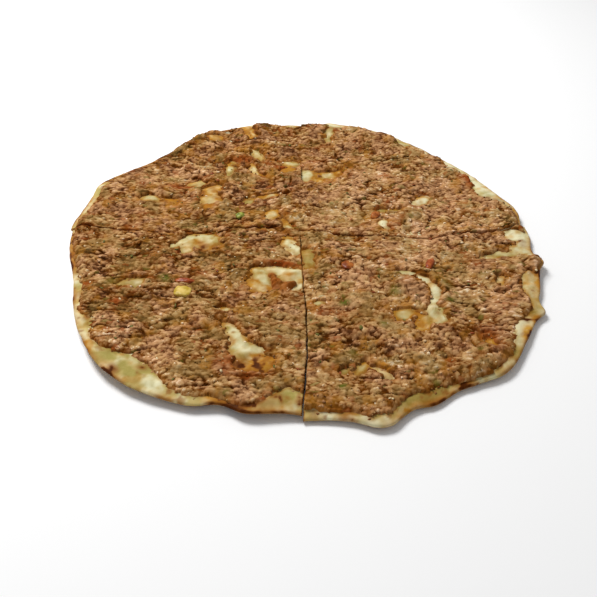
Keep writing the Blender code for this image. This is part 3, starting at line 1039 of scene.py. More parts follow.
@dataclass(frozen=True)
class CrustFinish(Finish):
    """Wheat dough baked on stone: matt and floury, pale where it rose, browned where it touched, with
    painted highlight and shade on its hills.
    """

    dough: str = "#c8b274"
    pale: str = "#e1dbb4"
    olive: str = "#a0924f"
    oil: str = "#e8b25a"
    toast: str = "#874b18"
    burnt: str = "#4a2106"
    rough: float = 0.7
    oily: float = 0.5
    grain_mm: float = 1.6
    bump: float = 0.5
    bump_mm: float = 0.3
    ior: float = 1.45
    specular: float = 0.1
    tint: str = "#d8b080"

    def material(self) -> Any:
        """Builds the material.

        Pale and olive are laid over the dough and oil is multiplied onto it by their shares, then
        toast, which turns to burnt where it is strongest. All but pale are broken up by noise.

        Returns:
            The material.
        """
        made, tree = new_material("wheat_crust_stone_baked")
        toast, oil, olive, pale = self.shares(tree, "bake")
        grain, coarse = self.noise(tree, 4.0), self.noise(tree, 3.0, 4.0)
        brown = self.broken(tree, toast, coarse)
        stops = ((0.72, "#000000"), (1.0, "#ffffff"))
        deep = add_node(tree, "ShaderNodeValToRGB", {"stops": stops}, {0: brown}).outputs[0]
        coats = [
            (pale, self.pale, "MIX"),
            (self.broken(tree, olive, grain), self.olive, "MIX"),
            (self.broken(tree, oil, grain), self.oil, "MULTIPLY"),
            (brown, self.toast, "MIX"),
            (deep, self.burnt, "MIX"),
        ]
        gloss = {"Value": oil, "To Min": self.rough, "To Max": self.oily}
        rough = add_node(tree, "ShaderNodeMapRange", {}, gloss).outputs[0]
        self.complete(tree, lay_coats(tree, self.dough, coats), rough, grain)
        return made

    def broken(self, tree: Any, share: Any, noise: Any) -> Any:
        """A share broken up by noise: share (0.7 noise + 0.65), held between 0 and 1."""
        inputs = {0: noise, 1: 0.7, 2: 0.65}
        mottle = add_node(tree, "ShaderNodeMath", {"operation": "MULTIPLY_ADD"}, inputs).outputs[0]
        settings = {"operation": "MULTIPLY", "use_clamp": True}
        return add_node(tree, "ShaderNodeMath", settings, {0: share, 1: mottle}).outputs[0]


@dataclass(frozen=True)
class BitFinish(Finish):
    """A small moist cut of vegetable, herb or fat: smooth, with wet glints."""

    name: str
    flesh: str
    skin: str
    rough: float

    def material(self) -> Any:
        """Builds the material, with flesh and skin mixed by noise, which is its relief too."""
        made, tree = new_material(self.name)
        noise = self.noise(tree, 2.0)
        stops = ((0.35, self.flesh), (0.62, self.skin))
        colour = add_node(tree, "ShaderNodeValToRGB", {"stops": stops}, {0: noise}).outputs[0]
        self.complete(tree, colour, self.rough, noise)
        return made


def linked_object(name: str, mesh: Any) -> Any:
    """Puts a mesh, lamp or camera into the scene as an object at the origin."""
    made = bpy.data.objects.new(name, mesh)
    bpy.context.scene.collection.objects.link(made)
    return made


class Shell:
    """One closed piece gathered from blocks of faces that share their points."""

    def __init__(self) -> None:
        """Starts with no points and no faces."""
        self.points: list[Array] = []
        self.faces: list[Array] = []
        self.sheets: list[Array] = []
        self.count = 0

    def add_points(self, *axes: Array) -> int:
        """Adds points in millimetres.

        Args:
            axes: their x, y and z.

        Returns:
            The number of the first one.
        """
        first = self.count
        self.points.append(np.stack(axes, axis=-1).reshape(-1, 3))
        self.count += len(self.points[-1])
        return first

    def add_faces(self, faces: Array, sheet: Array) -> None:
        """Adds faces of one size.

        Args:
            faces: point numbers, one row for each face.
            sheet: the place of each corner on the unwrapped sheet.
        """
        self.faces.append(faces)
        self.sheets.append(sheet)

    def outward(self, points: Array) -> bool:
        """Whether the faces point out, which is so if the volume they close is above zero."""
        total = 0.0
        for faces in self.faces:
            for k in range(1, faces.shape[1] - 1):
                corners = points[faces[:, [0, k, k + 1]]]
                total += float(np.sum(corners[:, 0] * np.cross(corners[:, 1], corners[:, 2])))
        return total > 0

    def make(self, name: str, material: Any, shares: dict[str, Array]) -> Any:
        """Makes the object.

        Args:
            name: the piece's name.
            material: its material.
            shares: four values for each point, by attribute name.

        Returns:
            The object, which rides on the bread.
        """
        points = np.concatenate(self.points)
        turn = slice(None) if self.outward(points) else slice(None, None, -1)
        corners = np.concatenate([faces[:, turn].ravel() for faces in self.faces])
        sheet = np.concatenate([sheet[:, turn].reshape(-1, 2) for sheet in self.sheets])
        sizes = np.concatenate([np.full(len(faces), faces.shape[1]) for faces in self.faces])
        mesh = bpy.data.meshes.new(name)
        mesh.vertices.add(len(points))
        mesh.vertices.foreach_set("co", (points * MM).astype(np.float32).ravel())
        mesh.loops.add(len(corners))
        mesh.loops.foreach_set("vertex_index", corners.astype(np.int32))
        mesh.polygons.add(len(sizes))
        mesh.polygons.foreach_set("loop_start", (np.cumsum(sizes) - sizes).astype(np.int32))
        mesh.update(calc_edges=True)
        mesh.uv_layers.new(name=BAKE_SHEET).uv.foreach_set("vector", sheet.astype(np.float32).ravel())
        for title, values in shares.items():
            attribute = mesh.attributes.new(title, "FLOAT_COLOR", "POINT")
            attribute.data.foreach_set("color", values.astype(np.float32).ravel())
        mesh.shade_smooth()
        mesh.materials.append(material)
        made = linked_object(name, mesh)
        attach(made, "root")
        return made


def grid_faces(count: int, first: int) -> Array:
    """The four-cornered faces of a square grid of points.

    Args:
        count: faces along one side.
        first: the number of the grid's first point.

    Returns:
        One row of four point numbers for each face.
    """
    i, j = np.meshgrid(np.arange(count), np.arange(count), indexing="ij")
    corner = (first + i * (count + 1) + j).reshape(-1, 1)
    return corner + np.array([0, count + 1, count + 2, 1])


def on_sheet(box: Box, u: Array, v: Array) -> Array:
    """Places on the unwrapped sheet: shares u and v of a box (left, low, width, height)."""
    return np.stack([box[0] + box[2] * u, box[1] + box[3] * v], axis=-1)


def grid_sheet(count: int, box: Box) -> Array:
    """The unwrapped places of a square grid's faces, with count of them along each side of a box."""
    i, j = (k.reshape(-1, 1) for k in np.meshgrid(np.arange(count), np.arange(count), indexing="ij"))
    return on_sheet(box, (i + [0, 1, 1, 0]) / count, (j + [0, 0, 1, 1]) / count)


def border_walk(count: int) -> Array:
    """The point numbers round a square grid's border, starting at its first point."""
    run, zero = np.arange(count), np.zeros(count, int)
    i = np.concatenate([run, zero + count, count - run, zero])
    j = np.concatenate([zero, run, zero + count, count - run])
    return i * (count + 1) + j


@dataclass(frozen=True)
class MeatSheet:
    """The meat on one quarter: a fine upper face, a skirt, and a coarse face sunk in the dough."""

    quarter: Quarter
    cells: int = 300
    coarse: int = 6
    inset: float = 2.0
    half_gap: float = 0.32
    waver: float = 0.5
    sunk: float = 1.4
    top_sheet: Box = (0.01, 0.01, 0.86, 0.86)
    low_sheet: Box = (0.01, 0.89, 0.1, 0.1)
    skirt_sheet: Box = (0.89, 0.01, 0.05, 0.97)

    def build(self, material: Any) -> Any:
        """Builds the piece.

        The upper face is a grid of the quarter's plan lifted to the meat's height. Its border is
        joined by a fan of triangles to every sixth border point of the lower face.

        Args:
            material: the meat's material.

        Returns:
            The object.
        """
        side = self.quarter.side.name
        x, y = self.quarter.plan(np.linspace(0, 1, self.cells + 1), self.inset, self.half_gap, self.waver)
        face = self.quarter.mince(x, y)
        shell = Shell()
        shell.add_points(x, y, face.height)
        few = self.cells // self.coarse
        step = slice(None, None, self.coarse)
        low_x, low_y = x[step, step], y[step, step]
        _, dough_top = self.quarter.dough(low_x, low_y)
        low = shell.add_points(low_x, low_y, dough_top - self.sunk)
        shell.add_faces(grid_faces(self.cells, 0), grid_sheet(self.cells, self.top_sheet))
        shell.add_faces(grid_faces(few, low)[:, ::-1], grid_sheet(few, self.low_sheet)[:, ::-1])
        self.add_skirt(shell, low, few)
        shares = {}
        for name, values in (("grain", face.grain), ("spice", face.spice)):
            shares[name] = np.concatenate([values.reshape(-1, 4), values[step, step].reshape(-1, 4)])
        made = shell.make(f"mince_{side}", material, shares)
        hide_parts(f"topping_{side}")
        return made

    def add_skirt(self, shell: Shell, low: int, few: int) -> None:
        """Joins the two borders: each fine edge to the nearer coarse point, and each coarse edge back.

        Args:
            shell: the piece being gathered.
            low: the number of the lower face's first point.
            few: faces along one side of the lower face.
        """
        upper, lower = border_walk(self.cells), low + border_walk(few)
        edge = np.arange(len(upper))
        near = (edge + self.coarse // 2) // self.coarse
        fine = np.stack([upper[(edge + 1) % len(upper)], upper, lower[near % len(lower)]], axis=-1)
        fine_run = np.stack([edge + 1, edge, near * self.coarse], axis=-1)
        edge = np.arange(len(lower))
        middle = edge * self.coarse + self.coarse // 2
        back = np.stack([upper[middle % len(upper)], lower, lower[(edge + 1) % len(lower)]], axis=-1)
        back_run = np.stack([middle, edge * self.coarse, (edge + 1) * self.coarse], axis=-1)
        for faces, run, side in ((fine, fine_run, [0, 0, 1]), (back, back_run, [0, 1, 1])):
            across = np.broadcast_to(side, run.shape)
            shell.add_faces(faces, on_sheet(self.skirt_sheet, across, run / len(upper)))


@dataclass(frozen=True)
class BreadSheet:
    """The bread under one quarter, with a rounded rim and two cut faces."""

    quarter: Quarter
    cells: int = 170
    rounding: int = 8
    edge: float = 1.5
    rags: float = 1 / 300
    half_gap: float = 0.12
    top_sheet: Box = (0.01, 0.01, 0.58, 0.58)
    low_sheet: Box = (0.61, 0.01, 0.38, 0.38)
    down_sheet: Box = (0.01, 0.70, 0.58, 0.05)
    across_sheet: Box = (0.01, 0.62, 0.58, 0.05)

    def build(self, material: Any) -> Any:
        """Builds the piece.

        Levels run evenly to the start of the rounding. From there the way in from the outline is
        edge (1 - sin a) and the height is the middle of the dough plus or minus half its thickness
        times cos a, with a from 0 to a right angle, so that both faces end on one line.

        Args:
            material: the bread's material.

        Returns:
            The object.
        """
        side, count = self.quarter.side.name, (self.cells + 1) ** 2
        flat = self.cells - self.rounding
        turn = np.linspace(0, math.pi / 2, self.rounding + 1)
        outer = 1 - self.edge * (1 - np.sin(turn)) / BREAD_RADIUS
        share = np.concatenate([np.linspace(0, outer[0], flat + 1)[:-1], outer])
        x, y = self.quarter.plan(share, 0.0, self.half_gap, 0.0)
        angle = np.degrees(np.arctan2(y, x))
        far = np.hypot(x, y) / self.quarter.rim(angle)
        ragged = 1 + self.rags * RAGGED_RIM.at(angle * RIM_MM_A_DEGREE, angle * 0) * far**8
        x, y = x * ragged, y * ragged
        under, top = self.quarter.dough(x, y)
        under = under + UNDER_RISE * RAISED_BELOW.patches(x, y) * (far < 0.97)
        run = np.arange(self.cells + 1)
        level = np.maximum(*np.meshgrid(run, run, indexing="ij"))
        half = (top - under) / 2 * np.cos(turn)[np.clip(level - flat, 0, self.rounding)]
        shell = Shell()
        shell.add_points(x, y, (top + under) / 2 + half)
        low = shell.add_points(x, y, (top + under) / 2 - half)
        rim = np.flatnonzero(level == self.cells)
        numbers = np.arange(2 * count)
        numbers[low + rim] = rim
        below = numbers[grid_faces(self.cells, low)[:, ::-1]]
        shell.add_faces(grid_faces(self.cells, 0), grid_sheet(self.cells, self.top_sheet))
        shell.add_faces(below, grid_sheet(self.cells, self.low_sheet)[:, ::-1])
        self.add_cuts(shell, low, numbers)
        bake = np.concatenate([self.quarter.bake(x, y, False), self.quarter.bake(x, y, True)])
        made = shell.make(f"bread_{side}", material, {"bake": bake.reshape(-1, 4)})
        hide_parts(f"dough_{side}")
        return made

    def add_cuts(self, shell: Shell, low: int, numbers: Array) -> None:
        """Closes the two cut faces between the upper and the lower first rows.

        Args:
            shell: the piece being gathered.
            low: the number of the lower face's first point.
            numbers: the point that stands for each one, since both faces share the rim.
        """
        run = np.arange(self.cells + 1)
        share = np.stack([run[:-1], run[1:], run[1:], run[:-1]], axis=-1) / self.cells
        side = np.broadcast_to([0, 0, 1, 1], share.shape)
        across, down = run * (self.cells + 1), run
        for walk, box, turn in ((across, self.across_sheet, -1), (down, self.down_sheet, 1)):
            near, far = walk[:-1], walk[1:]
            faces = numbers[np.stack([near, far, low + far, low + near], axis=-1)]
            sheet = on_sheet(box, share, side)
            last = [0, 1, 3][::turn]
            shell.add_faces(faces[:-1, ::turn], sheet[:-1, ::turn])
            shell.add_faces(faces[-1:, last], sheet[-1:, last])


def ball(cuts: int) -> tuple[Array, Array, Array]:
    """A round ball of triangles, unwrapped onto a square.

    An eight-sided die has each side divided into cuts^2 triangles. A place (x, y, z) with
    |x| + |y| + |z| = 1 lies at (x, y) on the square if it is above, and is folded out to
    (1 - |y|, 1 - |x|) with the signs of its side if it is below. Points are then moved to distance 1.

    Args:
        cuts: triangles along one edge of the die.

    Returns:
        The points, the faces, and the corners' places on the square from 0 to 1.
    """
    a, b = (k.ravel() for k in np.meshgrid(np.arange(cuts), np.arange(cuts), indexing="ij"))
    near, right, ahead, far = (np.stack(k, -1) for k in ((a, b), (a + 1, b), (a, b + 1), (a + 1, b + 1)))
    up, down = np.stack([near, right, ahead], axis=1), np.stack([right, far, ahead], axis=1)
    corners = np.concatenate([up[a + b < cuts], down[a + b < cuts - 1]])
    third = cuts - corners.sum(axis=-1, keepdims=True)
    places = np.concatenate([corners, third], axis=-1) / cuts
    signs = np.array([(sx, sy, sz) for sx in (1, -1) for sy in (1, -1) for sz in (1, -1)])
    die = places[None] * signs[:, None, None, :]
    folded = (1 - np.abs(die[..., [1, 0]])) * signs[:, None, None, :2]
    sheet = np.where(signs[:, None, None, 2:] > 0, die[..., :2], folded)
    die, sheet = die.reshape(-1, 3, 3), sheet.reshape(-1, 3, 2) * 0.5 + 0.5
    inward = np.sum(np.cross(die[:, 1] - die[:, 0], die[:, 2] - die[:, 0]) * die.mean(axis=1), axis=-1) < 0
    die[inward], sheet[inward] = die[inward, ::-1], sheet[inward, ::-1]
    points, faces = np.unique(np.round(die.reshape(-1, 3), 6), axis=0, return_inverse=True)
    return points / np.linalg.norm(points, axis=1, keepdims=True), faces.reshape(-1, 3), sheet


def turned_by(yaw: Array, tilt: Array, about: Array) -> Array:
    """Turns that tilt about a level line and then turn about the upright.

    Args:
        yaw: turn about the upright, in radians.
        tilt: how far the piece leans.
        about: direction of the line it leans over.

    Returns:
        One 3 x 3 matrix for each piece.
    """
    zero, one = np.zeros(len(yaw)), np.ones(len(yaw))
    cos, sin = np.cos(yaw), np.sin(yaw)
    spin = np.stack([cos, -sin, zero, sin, cos, zero, zero, zero, one], axis=-1).reshape(-1, 3, 3)
    line = np.stack([np.cos(about), np.sin(about), zero], axis=-1)
    cos, sin = np.cos(tilt)[:, None, None], np.sin(tilt)[:, None, None]
    cross = np.zeros((len(yaw), 3, 3))
    cross[:, 0, 2], cross[:, 2, 0] = line[:, 1], -line[:, 1]
    cross[:, 1, 2], cross[:, 2, 1] = -line[:, 0], line[:, 0]
    lean = cos * np.eye(3) + sin * cross + (1 - cos) * line[:, :, None] * line[:, None, :]
    return lean @ spin


@dataclass(frozen=True)
class Scatter:
    """Small loose bits of one kind lying in the meat, or on the bare dough beside it."""

    name: str
    slot: str
    count: int
    length: tuple[float, float]
    height_share: tuple[float, float]
    seed: int
    width_share: tuple[float, float] = (0.4, 0.8)
    lean: float = 0.4
    shows: float = 0.4
    margin: float = 0.5
    farthest: float = 99.0
    bend: float = 0.0
    cuts: int = 2
    tries: int = 3
    lighter: float = 0.08
    half_side: float = 160.0
    from_cut: float = 0.9
    from_rim: float = 2.5
    lumpiness: float = 0.25
    tone_spread: float = 0.1
    sheet_margin: float = 0.06
    sheet_share: float = 0.88

    def places(self, draw: Any) -> tuple[Array, Array, Array, Array]:
        """Picks places on the bread.

        Places are drawn evenly over a square. Those are kept that lie between margin and farthest
        inside the meat of their quarter, and far enough from the cuts and the rim.

        Args:
            draw: the source of chance.

        Returns:
            x, y, the meat's height and its colouring.
        """
        tries = draw.uniform(-self.half_side, self.half_side, (self.count * self.tries, 2))
        x, y = tries[:, 0], tries[:, 1]
        height = np.full(len(x), np.nan)
        grain = np.zeros((len(x), 4))
        for quarter in QUARTERS:
            right, back, _, _ = quarter.side.value
            mine = (right * (x - down_x(y)) > self.from_cut) & (back * (y - across_y(x)) > self.from_cut)
            cover = quarter.cover(x, y)
            mine = mine & (cover > self.margin) & (cover < self.farthest)
            mine = mine & (quarter.inward(x, y) > self.from_rim)
            face = quarter.mince(x[mine], y[mine])
            height[mine], grain[mine] = face.height, face.grain
        kept = np.flatnonzero(~np.isnan(height))[: self.count]
        return x[kept], y[kept], height[kept], grain[kept]

    def build(self, material: Any) -> Any:
        """Builds all the bits as one piece.

        Each is the same ball with its points moved in or out, bent down at its ends, stretched to
        its own length, width and height, leaned, turned and set on the meat with part of its height
        showing. It takes the meat's colouring there, in a tone of its own, and its lower half is darkened
        as painted shade.

        Args:
            material: the bits' material.

        Returns:
            The object.
        """
        draw = np.random.default_rng(self.seed)
        x, y, height, grain = self.places(draw)
        many = len(x)
        unit, faces, sheet = ball(self.cuts)
        length = draw.uniform(*self.length, many) / 2
        width = length * draw.uniform(*self.width_share, many)
        tall = length * draw.uniform(*self.height_share, many)
        lumpy = unit[None] * (1 + draw.uniform(-self.lumpiness, self.lumpiness, (many, len(unit), 1)))
        lumpy[..., 2] -= self.bend * lumpy[..., 0] ** 2 * draw.uniform(-0.3, 1, (many, 1))
        sized = lumpy * np.stack([length, width, tall], axis=-1)[:, None, :]
        around = draw.uniform(0, 2 * math.pi, many)
        leaned = draw.normal(0, self.lean, many)
        turns = turned_by(draw.uniform(0, 2 * math.pi, many), leaned, around)
        placed = np.einsum("nij,nkj->nki", turns, sized)
        z = height + tall * (2 * self.shows - 1)
        z = z - np.clip(placed[..., 2].max(axis=1) + z - HIGHEST, 0, None)
        placed = placed + np.stack([x, y, z], axis=-1)[:, None, :]
        shell = Shell()
        shell.add_points(*np.moveaxis(placed, -1, 0))
        side = math.ceil(math.sqrt(many))
        number = np.arange(many)
        corner = np.stack([number % side, number // side], axis=-1)[:, None, None, :]
        shell.add_faces(
            (faces[None] + number[:, None, None] * len(unit)).reshape(-1, 3),
            ((corner + self.sheet_margin + self.sheet_share * sheet[None]) / side).reshape(-1, 3, 2),
        )
        grain[:, 0] = np.clip(grain[:, 0] + draw.normal(self.lighter, self.tone_spread, many), 0, 1)
        grain = np.repeat(grain, len(unit), axis=0)
        # Painted shade: each bit's unshaded share falls towards its underside.
        grain[:, 2] = np.tile(np.clip(0.65 + 0.5 * unit[:, 2], 0, 1), many)
        made = shell.make(self.name, material, {"grain": grain, "spice": np.zeros((many * len(unit), 4))})
        return made


@dataclass(frozen=True)
class CutVegetable:
    """A cut of pepper or tomato as large as a berry, half sunk in the meat."""

    name: str
    slot: str
    length: float
    width: float
    height: float
    turn: float
    square: float
    hollow: float
    seed: int
    cuts: int = 14
    sunk: float = 0.7
    wobble: float = 0.14
    sheet_margin: float = 0.02
    sheet_share: float = 0.96

    def build(self, material: Any) -> Any:
        """Builds the cut.

        A ball's coordinates are raised to a power below 1, which squares it, then scaled, roughened
        by slow noise, dished along its length by hollow x^2, turned, and sunk into the meat.

        Args:
            material: the cut's material.

        Returns:
            The object.
        """
        low, high = (np.array(corner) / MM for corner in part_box(self.name))
        unit, faces, sheet = ball(self.cuts)
        shape = np.sign(unit) * np.abs(unit) ** self.square
        shape = shape / np.max(np.abs(shape))
        rough = Noise(0.9, self.seed, 3).at(shape[:, 0] * 2 + shape[:, 2], shape[:, 1] * 2)[:, None]
        size = np.array([self.length, self.width, self.height])
        shape = shape * (1 + self.wobble * rough) * size / 2
        shape[:, 2] -= self.hollow * (shape[:, 0] / self.length * 2) ** 2
        x, y = along(shape[:, 0], -shape[:, 1], self.turn), along(shape[:, 1], shape[:, 0], self.turn)
        points = np.stack([x, y, shape[:, 2]], axis=-1) + (low + high) / 2
        points[:, 2] -= max(self.sunk, float(points[:, 2].max()) - HIGHEST)
        shell = Shell()
        shell.add_points(*points.T)
        shell.add_faces(faces, self.sheet_margin + self.sheet_share * sheet)
        made = shell.make(f"cut_{self.name}", material, {})
        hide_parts(self.name)
        return made


CREAM, LIME, PEACH, PLAIN, YELLOW, GOLD, OLIVE, AMBER, FILM = Shade

BACK_RIGHT = Quarter(
    side=Side.back_right,
    outline=((6, 3.5, -3.4), (15, 5, 2.2), (26, 12, -4.2), (46, 10, -2), (75, 16, 4.5)),
    bare_rim=((23, 7, 11), (34, 5, 4), (41, 3, 4), (50, 4, 4.5), (58, 2.5, 6), (80.5, 3, 7)),
    curl=((22, 16, 3.5), (78, 28, 4.2)),
    mounds=(
        (7, 140, 11, 1.8), (44, 136, 11, 2), (70, 30, 10, 1.6), (104, 102, 10, 1.6),
        (57, 140, 4.5, -2.2), (70, 128, 5, 1.6), (80, 124, 4, -2.2), (90, 113, 5, 1.6), (28, 148, 4, -2),
        (120, 72, 5, 1.8),
    ),
    patches=each(
        Patch,
        (4, 79, 9, 5.5, 85, 2.1, LIME), (18.5, 81, 8.5, 3.6, 10, 1.7, YELLOW),
        (28, 84, 6, 3, 40, 1.6, AMBER), (12, 73, 6, 2.6, -10, 1.5, GOLD),
        (55.8, 18.5, 5.6, 3.6, 80, 2.5, CREAM), (61, 35, 8.5, 2.7, 6, 1.8, OLIVE),
        (83.5, 46.5, 7.2, 4.4, 45, 2.1, PEACH), (21, 135, 12, 3.6, 85, 1.9, LIME),
        (24.5, 152, 7, 5, 0, 0, CREAM),
    ),
    spots={
        Stain.TOAST: each(Spot, (127, 46, 3.5, 5, 30, 0.8)),
        Stain.PALE: each(Spot, (59, 79, 2.5, 1.6, 0, 0.8)),
        Stain.RED: each(
            Spot,
            (60.5, 76.5, 4.5, 3, 0, 0.8), (10, 96, 8, 4, 0, 0.5), (60, 13, 4, 3, 0, 0.5),
            (67, 24, 3, 7, -40, 0.5), (119, 68, 4, 9, 20, 0.9), (110, 34, 9, 3, -20, 0.4),
        ),
        Stain.OCHRE: each(
            Spot,
            (30, 86, 9, 7, 20, 0.8), (38, 98, 5, 7, 0, 0.6), (20, 72, 9, 4, 0, 0.8),
            (46, 24, 5, 6, 0, 0.7), (55, 11, 6, 3, 0, 0.8), (110, 12, 28, 1.6, 4, 0.6),
        ),
    },
)

BACK_LEFT = Quarter(
    side=Side.back_left,
    outline=((102, 4, 5.5), (117, 7, 5.5), (139, 8, -4), (156, 6, 5), (173, 5, 1)),
    bare_rim=((93, 3, 3), (106, 3, 5), (141, 5, 1.5), (162, 13, 4.2)),
    curl=((100, 26, 4.2), (155, 18, 2.5)),
    mounds=(
        (-34, 138, 10, 1.8), (-88, 114, 10, 1.8), (-8, 72, 12, 1), (-24, 146, 4, -2.4),
        (-58, 135, 4.5, -2), (-78, 124, 5, 1.6), (-100, 108, 4, -2), (-112, 94, 5, 1.6),
    ),
    patches=each(
        Patch,
        (-103.5, 45.5, 7, 3.6, 0, 2.3, LIME), (-89, 43.5, 6, 2.6, -8, 1.6, AMBER),
        (-62.5, 56, 7, 5.4, 40, 2.1, GOLD), (-64.5, 46, 8, 4.4, 78, 2.1, YELLOW),
        (-59, 48, 4, 6, 20, 1.6, GOLD), (-74, 65.5, 5.5, 2.8, 10, 1.7, YELLOW),
        (-51.5, 84.5, 8.5, 3.4, 85, 2, LIME), (-33.5, 85, 10, 3.3, -62, 2, YELLOW),
        (-33, 106.5, 8, 3, -53, 1.9, YELLOW), (-7, 95, 6.5, 4.5, 0, 1.7, LIME),
        (-9.5, 86, 6.5, 4, 12, 1.7, GOLD), (-67.5, 127.5, 6, 4.8, 0, 2.1, GOLD),
        (-40, 136, 8, 4.6, -56, 1.8, GOLD), (-50, 144, 6, 3, -30, 1.6, YELLOW),
        (-5.5, 152, 5, 3, 0, 0, PLAIN), (-19.5, 26.5, 6, 3.8, 60, 2.3, YELLOW),
        (-21.5, 49.5, 8, 2, 15, 1.5, YELLOW), (-35.5, 43, 5, 4.2, 40, 1.6, FILM),
        (-8, 13, 8, 2, -72, 1.5, PLAIN),
    ),
    spots={
        Stain.TOAST: each(Spot, (-13, 86, 3, 2.5, 0, 0.4)),
        Stain.OIL: each(Spot, (-9.5, 85.5, 5, 5, 0, 1)),
        Stain.PALE: each(Spot, (-14, 30, 10, 4, 30, 0.4), (-78, 20, 4, 3, 0, 0.7)),
        Stain.RED: each(
            Spot,
            (-88, 60, 9, 2.4, 8, 0.8), (-44, 97, 8, 4, 0, 0.7), (-24, 96, 4, 9, 0, 0.5),
            (-16, 89, 5, 3, 0, 1), (-110, 10, 4, 3, 0, 0.5),
        ),
        Stain.OCHRE: each(
            Spot,
            (-86, 40, 8, 5, 0, 0.8), (-40, 112, 16, 6, 10, 0.6), (-60, 60, 10, 6, 60, 0.6),
            (-63, 36, 5, 4, 0, 0.8),
        ),
    },
)

